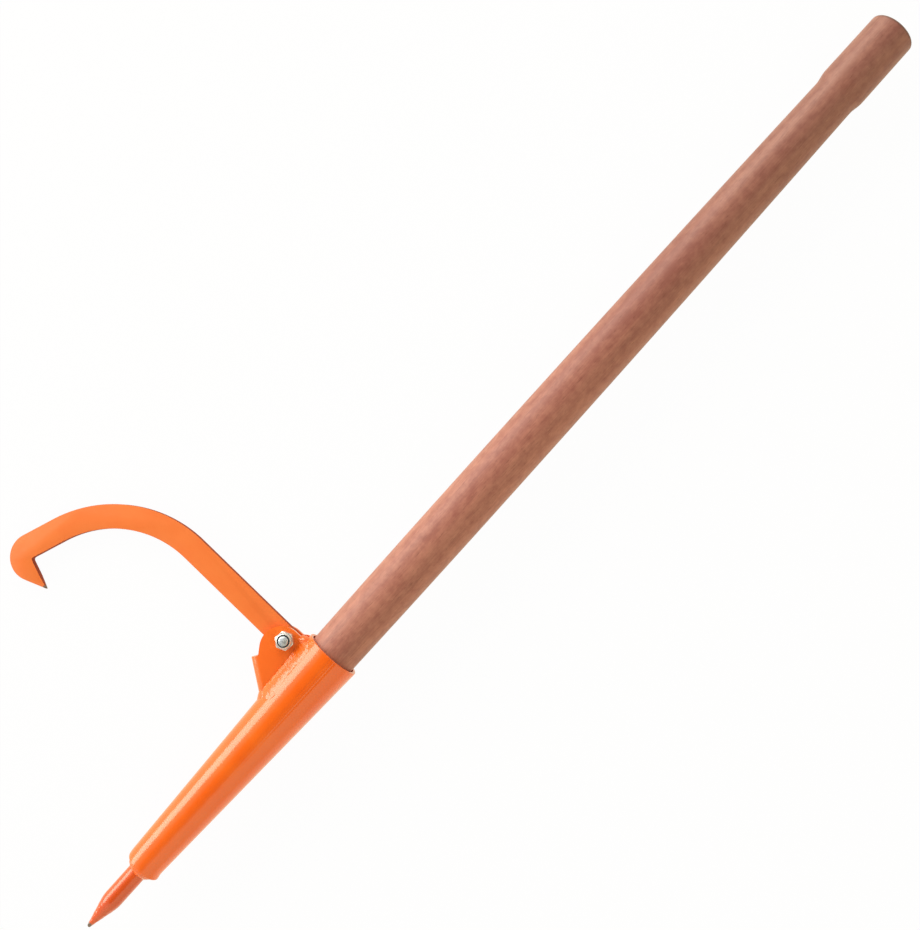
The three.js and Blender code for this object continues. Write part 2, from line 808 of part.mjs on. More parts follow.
// Laid down, the tool rests on its mouth rim and its knob, which gives the pitch, and
// rolls towards the hook until the back of the head touches, which gives the roll
const knobAt = neckAt + knobRise;
const pitch = Math.asin((socketMouthRadius - knobRadius) / knobAt);
const head = headCentre().rotateAround(new THREE.Vector2(), hookLean);
const headBackX = head.x - pivotSetback;
const headBackY = head.y + pivotHeight + barWidth;
const axisHeight = socketMouthRadius - headBackX * Math.tan(pitch);
const roll = Math.asin((axisHeight - barThickness / 2) / headBackY);

const tool = new THREE.Group();
tool.rotation.set(-roll, pitch, 0, 'YXZ');
tool.add(haft, pivotGroup);

// The origin is under the middle of the tool, on the ground
const peavey = new THREE.Group();
peavey.add(tool);
peavey.updateMatrixWorld(true);
const extent = new THREE.Box3().setFromObject(tool, true);
const middle = extent.getCenter(new THREE.Vector3());
tool.position.set(-middle.x, -middle.y, -extent.min.z);

export default peavey;
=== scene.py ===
# %% [markdown]
# # A peavey, the log-rolling tool
#
# A peavey is a lever for rolling logs: a turned wooden handle driven into a tapered steel
# socket, a spike at the far end, and a flat steel hook that swings on a bolt. This lesson
# dresses a finished mechanical model of one. The model gives the places and the sizes;
# here each piece gets its fine surface, its paint or its grain, and then the whole tool
# is lit and photographed from straight above.

# %% Load the mechanical model
import json
import math

import bmesh
import bpy
from mathutils import Matrix, Vector


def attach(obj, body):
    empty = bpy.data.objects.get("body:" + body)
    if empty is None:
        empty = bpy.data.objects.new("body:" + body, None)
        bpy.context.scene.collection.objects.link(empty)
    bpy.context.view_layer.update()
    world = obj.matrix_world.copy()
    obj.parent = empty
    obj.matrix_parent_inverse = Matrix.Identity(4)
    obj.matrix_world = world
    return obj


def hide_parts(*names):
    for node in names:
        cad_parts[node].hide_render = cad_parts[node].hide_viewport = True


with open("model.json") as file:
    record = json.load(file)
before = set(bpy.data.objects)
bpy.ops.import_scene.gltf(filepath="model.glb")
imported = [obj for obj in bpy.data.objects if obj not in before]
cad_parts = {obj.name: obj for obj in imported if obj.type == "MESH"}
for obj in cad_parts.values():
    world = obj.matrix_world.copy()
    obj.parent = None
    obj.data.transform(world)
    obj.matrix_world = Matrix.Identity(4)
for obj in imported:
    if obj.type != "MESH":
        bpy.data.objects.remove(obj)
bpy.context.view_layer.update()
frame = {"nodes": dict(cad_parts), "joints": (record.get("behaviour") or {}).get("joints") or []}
scene = bpy.context.scene
print("pieces in the mechanical model:", len(frame["nodes"]))

# %% [markdown]
# ## The tool's own directions
#
# The tool lies on the floor on its socket's rim, its knob and the back of its hook, so it
# is pitched and rolled by a few degrees. Every size is easier to think of along the tool:
# x runs from the socket's mouth towards the butt, y towards the hook and z towards the
# viewer, in millimetres. The hinge of the hook gives all three, because its axis is z.

# %% Directions and origin of the tool
MM = 0.001
PIVOT_X = -21.0
PIVOT_Y = 44.0

hinge = frame["joints"][0]
tool_z = Vector(hinge["axis"]).normalized()
tool_x = Vector((0, 1, 0)).cross(tool_z).normalized()
tool_y = tool_z.cross(tool_x)
tool_origin = Vector(hinge["pos_m"]) - (tool_x * PIVOT_X + tool_y * PIVOT_Y) * MM

TURN = Matrix((tool_x, tool_y, tool_z)).transposed()
PLACE = Matrix.Translation(tool_origin) @ TURN.to_4x4() @ Matrix.Scale(MM, 4)
print("mouth of the socket, in metres:", [round(c, 4) for c in tool_origin])

# %% [markdown]
# ## Helpers for nodes and colours
#
# Colours are written as on a paint card, in sRGB hex, but light adds up in linear values,
# so one function turns them. Another adds any node to any tree: it sets the node's
# properties, then feeds its inputs with plain values or with other nodes. The kinds that
# come up often get a short name first.

# %% Colour and node helpers
MATH = "ShaderNodeMath"
VECTOR_MATH = "ShaderNodeVectorMath"
NOISE = "ShaderNodeTexNoise"
RAMP = "ShaderNodeValToRGB"
MIX = "ShaderNodeMix"
BUMP = "ShaderNodeBump"
# A range node's row is its value, from low, from high, to low and to high
RANGE = "ShaderNodeMapRange"


def linear(code):
    """The linear colour of an sRGB hex code."""
    channels = []
    for i in (1, 3, 5):
        value = int(code[i:i + 2], 16) / 255
        low = value / 12.92
        high = ((value + 0.055) / 1.055) ** 2.4
        channels.append(low if value <= 0.04045 else high)
    return (*channels, 1.0)


def feed(tree, node, links):
    """Feeds a node's inputs with values, with other nodes or with their outputs.

    The links are a table from input to source, or a row of sources for the first inputs.
    """
    pairs = links.items() if isinstance(links, dict) else enumerate(links)
    for key, source in pairs:
        if isinstance(source, bpy.types.Node):
            source = source.outputs[0]
        if isinstance(source, bpy.types.NodeSocket):
            tree.links.new(source, node.inputs[key])
        else:
            node.inputs[key].default_value = source


def add(tree, kind, links=(), **settings):
    """Adds a node, sets its properties and feeds its inputs."""
    node = tree.nodes.new(kind)
    for key, value in settings.items():
        setattr(node, key, value)
    feed(tree, node, links)
    return node


def new_material(name):
    """An empty material, its tree and its Principled shader."""
    material = bpy.data.materials.new(name)
    material.use_nodes = True
    tree = material.node_tree
    return material, tree, tree.nodes["Principled BSDF"]


def tool_millimetres(tree):
    """Object coordinates turned into the tool's own millimetres."""
    coordinates = add(tree, "ShaderNodeTexCoord")
    return add(tree, "ShaderNodeMapping", {
        "Vector": coordinates.outputs["Object"],
        "Location": tool_origin,
        "Rotation": TURN.to_euler(),
        "Scale": (MM, MM, MM),
    }, vector_type="TEXTURE")


print("enamel orange, linear:", [round(c, 3) for c in linear("#FB680E")])

# %% [markdown]
# ## The orange enamel
#
# All the steel is sprayed with one glossy orange enamel after welding. Enamel is a
# coloured layer under a clear skin of resin, so the shader is a rough orange base with a
# glossier coat. Two things keep it from looking like plastic: a faint orange peel a few
# millimetres wide, left by the spray, and a slow waviness of the steel below. The spike
# and the beak have lost their paint at the very tip, where a noise breaks up the edge of
# a small bare ball round the point. On the hook's narrow sides, which were cut and not
# rolled, the enamel is dull, and its dark red-brown colour is painted shade, for sides
# that face away from the light; an attribute of the mesh says where.
# Flat plate and bar keep the mill's scale, so their gloss is hazier and spreads wider. Their
# orange is also painted paler than the socket's: a painted sheen for that wider gloss.

# %% Enamel on steel
ENAMEL_IOR = 1.55
COAT = 0.7
PEEL_MM = 2.5
PEEL_DEPTH = 0.04
WAVE_MM = 17.0
WAVE_DEPTH = 1.0
MOTTLE_MM = 40.0
RAGGED_MM = 1.6
# Dark red-brown painted shade on the hook's narrow cut sides
CUT_SIDE_SHADE = "#A03C14"
CUT_ROUGHNESS = 0.75
BARE_STEEL = "#7F6E65"


def paint_skin(tree, place):
    """Orange peel over the slow waviness of the steel below."""
    wave = add(tree, NOISE, {"Vector": place, "Scale": 1 / WAVE_MM, "Detail": 1.0})
    peel = add(tree, NOISE, {"Vector": place, "Scale": 1 / PEEL_MM, "Detail": 1.0})
    wavy = add(tree, BUMP, {"Height": wave, "Strength": 0.2, "Distance": WAVE_DEPTH * MM})
    return add(tree, BUMP, {
        "Height": peel, "Strength": 0.15, "Distance": PEEL_DEPTH * MM, "Normal": wavy,
    })


def bare_share(tree, place, point, radius):
    """One inside a ragged ball round a worn point, nothing outside it."""
    away = add(tree, VECTOR_MATH, (place, point), operation="DISTANCE").outputs["Value"]
    ragged = add(tree, NOISE, {"Vector": place, "Scale": 1 / RAGGED_MM, "Detail": 3.0})
    edge = add(tree, MATH, (ragged, radius, away), operation="MULTIPLY_ADD")
    return add(tree, RANGE, (edge, radius * 1.35, radius * 1.6, 1.0, 0.0))


def sprayed_enamel(name, colours, haze=0.13, bare_point=None, bare_radius=0.0):
    """Glossy orange enamel; it is worn off within bare_radius of bare_point.

    Where a mesh has the attribute cut_edge, the enamel is dull and its colour is painted
    shade, dark red-brown. The haze is the roughness of its clear skin.
    """
    material, tree, shader = new_material(name)
    place = tool_millimetres(tree)
    mottle = add(tree, NOISE, {
        "Vector": place, "Scale": 1 / MOTTLE_MM, "Detail": 3.0, "Roughness": 0.6,
    })
    cut = add(tree, "ShaderNodeAttribute", attribute_name="cut_edge").outputs["Fac"]
    tint = add(tree, RAMP, (mottle,))
    for element, position, code in zip(tint.color_ramp.elements, (0.3, 0.7), colours):
        element.position = position
        element.color = linear(code)
    # Painted shade: the narrow cut sides are darkened to a dark red-brown
    shaded_sides = add(tree, MIX, {0: cut, 6: tint, 7: linear(CUT_SIDE_SHADE)}, data_type="RGBA")
    colour = shaded_sides.outputs[2]
    gloss = add(tree, RANGE, (mottle, 0.0, 1.0, 0.2, 0.3))
    rough = add(tree, MIX, {0: cut, 2: gloss, 3: CUT_ROUGHNESS}, data_type="FLOAT")
    if bare_point is not None:
        bare = bare_share(tree, place, bare_point, bare_radius)
        worn = add(tree, MIX, {0: bare, 6: colour, 7: linear(BARE_STEEL)}, data_type="RGBA")
        colour = worn.outputs[2]
        rough = add(tree, MIX, {0: bare, 2: rough, 3: 0.5}, data_type="FLOAT")
        feed(tree, shader, {"Metallic": add(tree, MATH, (bare, 0.5), operation="MULTIPLY")})
    skin = paint_skin(tree, place)
    feed(tree, shader, {
        "Base Color": colour, "Roughness": rough, "IOR": ENAMEL_IOR, "Normal": skin,
        "Coat Weight": add(tree, RANGE, (cut, 0.0, 1.0, COAT, 0.0)),
        "Coat Roughness": haze, "Coat IOR": ENAMEL_IOR, "Coat Normal": skin,
    })
    return material


enamel = sprayed_enamel("sprayed_orange_enamel", ("#FB680E", "#FF7313"))
# The plate's orange is painted paler than the socket's, a painted sheen.
plate_enamel = sprayed_enamel("enamel_on_rolled_plate", ("#FB7020", "#FF7A28"), 0.3)
print("made:", enamel.name, plate_enamel.name)

# %% [markdown]
# ## The handle's wood
#
# The handle is turned from a red-brown tropical hardwood and left nearly bare. Such wood
# is read at four scales: slow bands of lighter and darker growth a few centimetres
# apart, a blotchy figure some millimetres wide, straight fibres about a millimetre wide,
# and open pores, seen as short dark dashes along the grain. All are solid patterns, most
# of them stretched along x, so the grain runs through the wood and also shows rightly on
# the flat butt. From 200 mm on the wood is darkened towards the butt, a painted shade for
# the light that falls off at that end, and the end grain of the butt has soaked up most
# of the stain. A little sheen stands for the fine fuzz that sanding leaves, which looks
# pale where the surface turns away.

# %% Wood
WOOD_COLOURS = ("#A1645A", "#BC8172")
PORE_COLOUR = "#6E4134"
FIBRE_MM = 1.1
PORE_MM = 1.1
BAND_MM = 22.0
FIGURE_MM = 7.0
DARKENING_FROM = 200.0
DARKENING_TO = 760.0
END_GRAIN_FROM = 832.0
END_GRAIN_TO = 834.5


def stretched(tree, place, length_share):
    """The place, with x shortened so that a pattern grows long along the grain."""
    return add(tree, VECTOR_MATH, (place, (length_share, 1.0, 1.0)), operation="MULTIPLY")


def grown_colour(tree, place):
    """Slow bands and a blotchy figure, from red-brown to pale brown."""
    bands = add(tree, NOISE, {
        "Vector": stretched(tree, place, 0.06), "Scale": 1 / BAND_MM, "Detail": 4.0,
        "Roughness": 0.55, "Distortion": 0.4,
    })
    figure = add(tree, NOISE, {
        "Vector": stretched(tree, place, 0.7), "Scale": 1 / FIGURE_MM, "Detail": 4.0,
        "Roughness": 0.6,
    })
    blotches = add(tree, MATH, (figure, 0.9, -0.45), operation="MULTIPLY_ADD")
    growth = add(tree, MATH, (bands, blotches), operation="ADD")
    colour = add(tree, RAMP, (growth,))
    for element, position, code in zip(colour.color_ramp.elements, (0.3, 0.72), WOOD_COLOURS):
        element.position = position
        element.color = linear(code)
    return colour


def darkening(tree, place):
    """Below one towards the butt, a painted shade, and in the end grain of the butt."""
    along = add(tree, "ShaderNodeSeparateXYZ", {0: place})
    # Painted shade: darker from 200 mm towards the butt, for the light that falls off there
    darker_towards_butt = add(tree, RANGE, (along, DARKENING_FROM, DARKENING_TO, 1.0, 0.7),
                  interpolation_type="SMOOTHSTEP")
    end_grain = add(tree, RANGE, (along, END_GRAIN_FROM, END_GRAIN_TO, 1.0, 0.45))
    return add(tree, MATH, (darker_towards_butt, end_grain), operation="MULTIPLY")


def turned_hardwood(name):
    """Bare red-brown hardwood with bands, fibres and pores along x."""
    material, tree, shader = new_material(name)
    place = tool_millimetres(tree)
    fibres = add(tree, NOISE, {
        "Vector": stretched(tree, place, 0.035), "Scale": 1 / FIBRE_MM, "Detail": 3.0,
        "Roughness": 0.65,
    })
    pores = add(tree, NOISE, {
        "Vector": stretched(tree, place, 0.12), "Scale": 1 / PORE_MM, "Detail": 2.0,
        "Roughness": 0.6,
    })
    shade_and_stain = darkening(tree, place)
    darkest = add(tree, MATH, (shade_and_stain, 0.9), operation="MULTIPLY")
    lightest = add(tree, MATH, (shade_and_stain, 1.1), operation="MULTIPLY")
    streak = add(tree, RANGE, (fibres, 0.3, 0.7, darkest, lightest))
    fibred = add(tree, MIX, {0: 1.0, 6: grown_colour(tree, place), 7: streak},
                 data_type="RGBA", blend_type="MULTIPLY")
    dash = add(tree, RANGE, (pores, 0.62, 0.7, 0.0, 0.4))
    sunk = add(tree, MATH, (fibres, dash), operation="SUBTRACT")
    pored = add(tree, MIX, {0: dash, 6: fibred.outputs[2], 7: linear(PORE_COLOUR)},
                data_type="RGBA")
    feed(tree, shader, {
        "Base Color": pored.outputs[2],
        "Roughness": add(tree, RANGE, (fibres, 0.0, 1.0, 0.4, 0.55)),
        "Normal": add(tree, BUMP, {"Height": sunk, "Strength": 0.4, "Distance": 0.12 * MM}),
        "IOR": 1.5, "Sheen Weight": 0.2, "Sheen Roughness": 0.45,
    })
    return material


hardwood = turned_hardwood("turned_red_brown_hardwood")
print("made:", hardwood.name)

# %% [markdown]
# ## Zinc, nylon and bare steel
#
# The bolt, nut and screw are bright zinc-plated steel: a metal with a faint blue cast,
# fairly smooth, and slightly cloudy where the plating is uneven. The bolt was tumbled in a
# drum with hundreds of others, so it is dented. The nut holds a nylon ring, dull and
# dark. The collar inside the socket is plain drawn steel.

# %% Small fasteners' materials
NYLON_MOTTLE_MM = 2 / 3


def cloudy_metal(name, colours, smooth, dull, cloud_mm, dents=0.05):
    """A metal whose colour, roughness and height (dents, in mm) vary softly."""
    material, tree, shader = new_material(name)
    place = tool_millimetres(tree)
    cloud = add(tree, NOISE, {"Vector": place, "Scale": 1 / cloud_mm, "Detail": 3.0})
    tint = add(tree, RAMP, (cloud,))
    for element, position, code in zip(tint.color_ramp.elements, (0.35, 0.65), colours):
        element.position = position
        element.color = linear(code)
    feed(tree, shader, {
        "Base Color": tint, "Metallic": 1.0,
        "Roughness": add(tree, RANGE, (cloud, 0.0, 1.0, smooth, dull)),
        "Normal": add(tree, BUMP, {"Height": cloud, "Strength": 0.6, "Distance": dents * MM}),
    })
    return material


def moulded_nylon(name):
    """Dull blue-black nylon with a faint mottle."""
    material, tree, shader = new_material(name)
    place = tool_millimetres(tree)
    mottle = add(tree, NOISE, {"Vector": place, "Scale": 1 / NYLON_MOTTLE_MM, "Detail": 2.0})
    tint = add(tree, RAMP, (mottle,))
    for element, code in zip(tint.color_ramp.elements, ("#242B35", "#323C49")):
        element.color = linear(code)
    feed(tree, shader, {"Base Color": tint, "Roughness": 0.55, "IOR": 1.53})
    return material


zinc = cloudy_metal("bright_zinc_plating", ("#DADDE2", "#F2F4F6"), 0.36, 0.58, 1.8)
tumbled_zinc = cloudy_metal("tumbled_zinc_plating", ("#BCCBDD", "#E6EFF9"), 0.35, 0.6, 2.6,
                            dents=1.0)
drawn_steel = cloudy_metal("drawn_mild_steel", ("#7C7874", "#989490"), 0.35, 0.5, 4.0)
nylon = moulded_nylon("moulded_dark_nylon")
print("made:", zinc.name, drawn_steel.name, nylon.name)

# %% [markdown]
# ## From a drawn mesh to a finished piece
#
# Each piece is drawn in the tool's millimetres as a bmesh. The helpers turn a profile into
# a solid as a lathe does, draw out a flat outline, run modifiers such as Boolean and Bevel
# and keep the plain result. The last one puts the finished mesh in its place, shades it
# smooth but for its sharp edges, and hangs it on its moving body.

# %% Mesh helpers
# Turns a shape made about x so that it stands along z
UPRIGHT = Matrix.Rotation(math.radians(-90), 4, "Y")


def temporary(bm):
    """A throw-away object that holds a bmesh, its faces turned outward."""
    bmesh.ops.recalc_face_normals(bm, faces=bm.faces)
    mesh = bpy.data.meshes.new("temporary")
    bm.to_mesh(mesh)
    bm.free()
    obj = bpy.data.objects.new("temporary", mesh)
    scene.collection.objects.link(obj)
    return obj


def discard(obj):
    """Removes an object and its mesh."""
    mesh = obj.data
    bpy.data.objects.remove(obj)
    bpy.data.meshes.remove(mesh)


def evaluated(obj):
    """The plain mesh that an object's modifiers give, as a bmesh; the object goes."""
    graph = bpy.context.evaluated_depsgraph_get()
    mesh = bpy.data.meshes.new_from_object(obj.evaluated_get(graph))
    bm = bmesh.new()
    bm.from_mesh(mesh)
    bpy.data.meshes.remove(mesh)
    discard(obj)
    return bm


def combined(bm, operation, *others):
    """Joins, cuts or intersects a mesh with others by exact booleans."""
    obj = temporary(bm)
    tools = [temporary(other) for other in others]
    for tool in tools:
        modifier = obj.modifiers.new("boolean", "BOOLEAN")
        modifier.operation = operation
        modifier.solver = "EXACT"
        modifier.object = tool
    bm = evaluated(obj)
    for tool in tools:
        discard(tool)
    return bm


def eased(bm, width, segments=3, angle=35.0):
    """Rounds every edge sharper than an angle, as paint and handling do."""
    bmesh.ops.remove_doubles(bm, verts=bm.verts, dist=0.002)
    bmesh.ops.dissolve_limit(
        bm, angle_limit=math.radians(0.4), verts=bm.verts, edges=bm.edges,
    )
    obj = temporary(bm)
    modifier = obj.modifiers.new("bevel", "BEVEL")
    modifier.width = width
    modifier.segments = segments
    modifier.limit_method = "ANGLE"
    modifier.angle_limit = math.radians(angle)
    return evaluated(obj)


def shares(count, first=0):
    """The shares i / count of a run, up to one."""
    return [i / count for i in range(first, count + 1)]


def lathe(profile, around=96, change=None):
    """Turns a profile of (x, radius) about x; change(x, angle) adds to the radius."""
    bm = bmesh.new()
    rings = []
    for x, radius in profile:
        if radius == 0:
            rings.append([bm.verts.new((x, 0, 0))] * around)
            continue
        ring = []
        for i in range(around):
            angle = 2 * math.pi * i / around
            r = radius + (change(x, angle) if change else 0)
            ring.append(bm.verts.new((x, r * math.cos(angle), r * math.sin(angle))))
        rings.append(ring)
    if profile[0] == profile[-1]:
        for vertex in rings[-1]:
            bm.verts.remove(vertex)
        rings[-1] = rings[0]
    for here, there in zip(rings, rings[1:]):
        for i in range(around):
            j = (i + 1) % around
            corners = dict.fromkeys((here[i], there[i], there[j], here[j]))
            bm.faces.new(corners)
    return bm


def upright(profile, around=96, change=None):
    """A lathed solid that stands along z, from a profile of (z, radius)."""
    bm = lathe(profile, around, change)
    bm.transform(UPRIGHT)
    return bm


def prism(outline, z0, z1):
    """A flat outline of (x, y) points drawn out from z0 to z1."""
    bm = bmesh.new()
    low = [bm.verts.new((x, y, z0)) for x, y in outline]
    high = [bm.verts.new((x, y, z1)) for x, y in outline]
    bm.faces.new(reversed(low))
    bm.faces.new(high)
    for i in range(len(outline)):
        j = (i + 1) % len(outline)
        bm.faces.new((low[i], low[j], high[j], high[i]))
    return bm


def arc(centre_x, centre_y, radius, start, end, step):
    """Points on an arc between two angles, in degrees."""
    count = max(1, round(abs(end - start) / step))
    points = []
    for i in range(count + 1):
        angle = math.radians(start + (end - start) * i / count)
        points.append((centre_x + radius * math.cos(angle),
                       centre_y + radius * math.sin(angle)))
    return points


def mark_cut_edges(bm):
    """Marks the narrow sides of a flat piece that lies square to z."""
    layer = bm.faces.layers.float.new("cut_edge")
    for face in bm.faces:
        face[layer] = 1.0 if abs(face.normal.z) < 0.8 else 0.0


def finished(name, bm, material, body, replaced, sharp=38.0):
    """Puts a drawn mesh in its place on the tool and on its moving body."""
    bmesh.ops.recalc_face_normals(bm, faces=bm.faces)
    mesh = bpy.data.meshes.new(name)
    bm.to_mesh(mesh)
    bm.free()
    mesh.transform(PLACE)
    mesh.polygons.foreach_set("use_smooth", [True] * len(mesh.polygons))
    mesh.set_sharp_from_angle(angle=math.radians(sharp))
    mesh.materials.clear()
    mesh.materials.append(material)
    obj = bpy.data.objects.new(name, mesh)
    scene.collection.objects.link(obj)
    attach(obj, body)
    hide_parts(*replaced)
    print(name, "has", len(mesh.polygons), "faces")


print("lathe, prism, booleans and bevels are ready")

# %% [markdown]
# ## The handle
#
# A handle like this comes off a copying lathe: one profile, turned. It swells slightly
# to a belly a hand's width above the socket, thins towards the grip and ends in a knob
# that keeps the hand from slipping off. Two parabolas and a cosine S describe it, and
# the tail that sits inside the socket follows the bore.

# %% Turn the handle
SOCKET_LENGTH = 286.0
MOUTH_RADIUS = 29.5
END_RADIUS = 18.5
WALL = 3.2
TAPER = (MOUTH_RADIUS - END_RADIUS) / SOCKET_LENGTH

HANDLE_REACH = 835.95
HANDLE_MOUTH_RADIUS = 24.8
BELLY_RADIUS = 25.9
BELLY_AT = 215.0
NECK_RADIUS = 22.4
NECK_AT = 746.0
KNOB_RADIUS = 24.5
KNOB_RISE = 17.0
BUTT_RADIUS = 24.05
BUTT_ROUNDING = 3.0
TAIL_END = -232.0
TAIL_CHAMFER = 2.0
BORE_GAP = 0.3


def socket_radius(x):
    """The outside radius of the socket at x."""
    return MOUTH_RADIUS + TAPER * x


def handle_profile():
    """The outline of the whole handle, from the tail to the butt."""
    tail_top = (HANDLE_MOUTH_RADIUS - MOUTH_RADIUS + WALL + BORE_GAP) / TAPER
    tail_radius = socket_radius(TAIL_END) - WALL - BORE_GAP
    points = [(TAIL_END, 0), (TAIL_END, tail_radius - TAIL_CHAMFER),
              (TAIL_END + TAIL_CHAMFER, tail_radius), (tail_top, HANDLE_MOUTH_RADIUS)]
    for t in shares(12):
        fall = (BELLY_RADIUS - HANDLE_MOUTH_RADIUS) * (1 - t) ** 2
        points.append((BELLY_AT * t, BELLY_RADIUS - fall))
    for t in shares(32, 1):
        x = BELLY_AT + (NECK_AT - BELLY_AT) * t
        points.append((x, BELLY_RADIUS - (BELLY_RADIUS - NECK_RADIUS) * t ** 2))
    for t in shares(16, 1):
        rise = (1 - math.cos(math.pi * t)) / 2
        radius = NECK_RADIUS + (KNOB_RADIUS - NECK_RADIUS) * rise
        points.append((NECK_AT + KNOB_RISE * t, radius))
    centre_x = HANDLE_REACH - BUTT_ROUNDING
    centre_r = BUTT_RADIUS - BUTT_ROUNDING
    points += arc(centre_x, centre_r, BUTT_ROUNDING, 90, 0, 10)
    points.append((HANDLE_REACH, 0))
    return points


finished("turned_handle", lathe(handle_profile(), 128), hardwood,
         "haft", ["handle"], sharp=50)

# %% [markdown]
# ## The socket
#
# The socket is sheet steel rolled into a cone. Pressing the sheet in short steps leaves
# faint flats along its length, which show as thin lines in the gloss near the mouth, so
# the mesh gets a few shallow creases there. The small end is cut slightly skew and carries
# a burr left by the torch. All are real changes of shape, under a millimetre deep.

# %% Roll the socket
# Each crease: its angle from the top in radians, its depth and its width
CREASES = ((-0.13, 0.22, 0.9), (-0.21, 0.2, 0.8), (-0.30, 0.26, 1.0), (0.86, 0.08, 2.5))
CREASE_FADE_MM = 190.0
BURR_ANGLE = math.radians(-78)
BURR_SPREAD = 0.4
BURR_LENGTH = 2.6
BURR_HEIGHT = 0.9
END_SKEW = 0.9
END_ROUNDING = 2.5
OUTER_LIP = 0.8
INNER_LIP = 0.5


def socket_change(x, angle):
    """Press marks near the mouth; a burr and a skew cut at the small end."""
    from_top = math.pi / 2 - angle
    change = 0.0
    near_mouth = max(0.0, 1 + x / CREASE_FADE_MM)
    for place, depth, width in CREASES:
        away = (from_top - place) * MOUTH_RADIUS / width
        change -= depth * near_mouth * math.exp(-away * away)
    change -= END_SKEW * math.sin(from_top) * math.exp(-((x + SOCKET_LENGTH) / 3) ** 2)
    turn = (from_top - BURR_ANGLE + math.pi) % (2 * math.pi) - math.pi
    away = turn / BURR_SPREAD
    along = (x + SOCKET_LENGTH - 3.0) / BURR_LENGTH
    return change + BURR_HEIGHT * math.exp(-away * away - along * along)


def socket_profile():
    """The socket's wall, closed round its bore."""
    end = -SOCKET_LENGTH
    start = end + END_ROUNDING
    points = [(end, END_RADIUS - WALL)]
    points += arc(start, END_RADIUS - END_ROUNDING + 0.1, END_ROUNDING, 180, 92, 12)
    for t in shares(70, 1)[:-1]:
        x = start + (-OUTER_LIP - start) * t
        points.append((x, socket_radius(x)))
    points += arc(-OUTER_LIP, MOUTH_RADIUS - OUTER_LIP - 0.1, OUTER_LIP, 88, 0, 22)
    points += arc(-INNER_LIP, MOUTH_RADIUS - WALL + INNER_LIP, INNER_LIP, 0, -90, 30)
    points.append(points[0])
    return points


finished("rolled_socket", lathe(socket_profile(), 384, socket_change), enamel,
         "haft", ["socket"], sharp=60)

# %% [markdown]
# ## The spike
#
# A round bar with a ground point. The shoulder between bar and point is soft, because
# the point is first drawn out hot and then ground. The paint is gone from the last few
# millimetres.

# %% Draw out the spike
SPIKE_RADIUS = 9.9
SPIKE_TIP = -366.8
POINT_LENGTH = 34.0
TIP_RADIUS = 1.9
SHOULDER = 9.0
TAIL_LENGTH = 44.0
MARK_DEPTH = 0.16
MARK_FADE = 8.0
MARK_RATE = 0.9
MARK_LEAN = 3.0
MARK_DRIFT = 0.31
WORN_TIP = 5.5


def spike_change(x, angle):
    """Hammer and grinder marks on the point."""
    on_point = min(1.0, max(0.0, (SPIKE_TIP + POINT_LENGTH - x) / MARK_FADE))
    ground = math.sin(x * MARK_RATE + MARK_LEAN * math.sin(angle))
    marks = ground * math.sin(2 * angle + x * MARK_DRIFT)
    return MARK_DEPTH * on_point * marks


def spike_profile():
    """Tip, point, shoulder and bar."""
    shoulder_x = SPIKE_TIP + POINT_LENGTH
    slope = (SPIKE_RADIUS - TIP_RADIUS) / (POINT_LENGTH - TIP_RADIUS)
    points = [(SPIKE_TIP, 0)]
    points += arc(SPIKE_TIP + TIP_RADIUS, 0, TIP_RADIUS, 165, 105, 15)
    start = SPIKE_TIP + TIP_RADIUS
    finish = shoulder_x - SHOULDER / 2
    for t in shares(24, 1)[:-1]:
        x = start + (finish - start) * t
        points.append((x, TIP_RADIUS + slope * (x - start)))
    for t in shares(8):
        x = finish + SHOULDER * t
        points.append((x, SPIKE_RADIUS - slope * SHOULDER / 2 * (1 - t) ** 2))
    tail_end = -SOCKET_LENGTH + TAIL_LENGTH
    return points + [(tail_end, SPIKE_RADIUS), (tail_end, 0)]


# The spike's deeper orange is a painted shade, for the light falling off at this end.
spike_enamel = sprayed_enamel("enamel_worn_at_spike_tip", ("#DC4F0F", "#E85D13"),
                              bare_point=(SPIKE_TIP, 0, 0), bare_radius=WORN_TIP)
finished("drawn_spike", lathe(spike_profile(), 72, spike_change), spike_enamel,
         "haft", ["spike"], sharp=55)

# %% [markdown]
# ## The bracket
#
# The hook hangs between two ears. They are one plate, bent into a U round a web that
# slopes up from the socket, and stood on the cone. The shape is found as a machinist
# would mark it: the U section is drawn out along the slope, everything outside the side
# view is cut away, then the cone and the bolt hole. A small bevel stands for the sheared
# edge under thick paint, which catches a bright line of light.

# %% Bend the bracket
PLATE = 5.0
EAR_GAP = 10.0
HALF_WIDTH = EAR_GAP / 2 + PLATE
BEND = 8.0
WEB_ANGLE = 55.0
WEB_STANDOFF = 38.6
WEB_TOP_DROP = 8.7
EAR_RADIUS = 22.0
EAR_CENTRE = (PIVOT_X - 8.8, PIVOT_Y - 2.2)
EAR_END_X = EAR_CENTRE[0] + EAR_RADIUS
EAR_STEP = 8.6
BOLT_HOLE = 5.3
SUNK = 1.6
CHANNEL_LENGTH = 150.0
CHANNEL_ABOVE = 45.0
# Deeper than any plate or gap, so that a cut goes right through
THROUGH = 20.0

web_up = Vector((math.cos(math.radians(WEB_ANGLE)), math.sin(math.radians(WEB_ANGLE)), 0))
web_in = Vector((web_up.y, -web_up.x, 0))
pivot = Vector((PIVOT_X, PIVOT_Y, 0))
web_top = pivot - web_in * WEB_STANDOFF - web_up * WEB_TOP_DROP


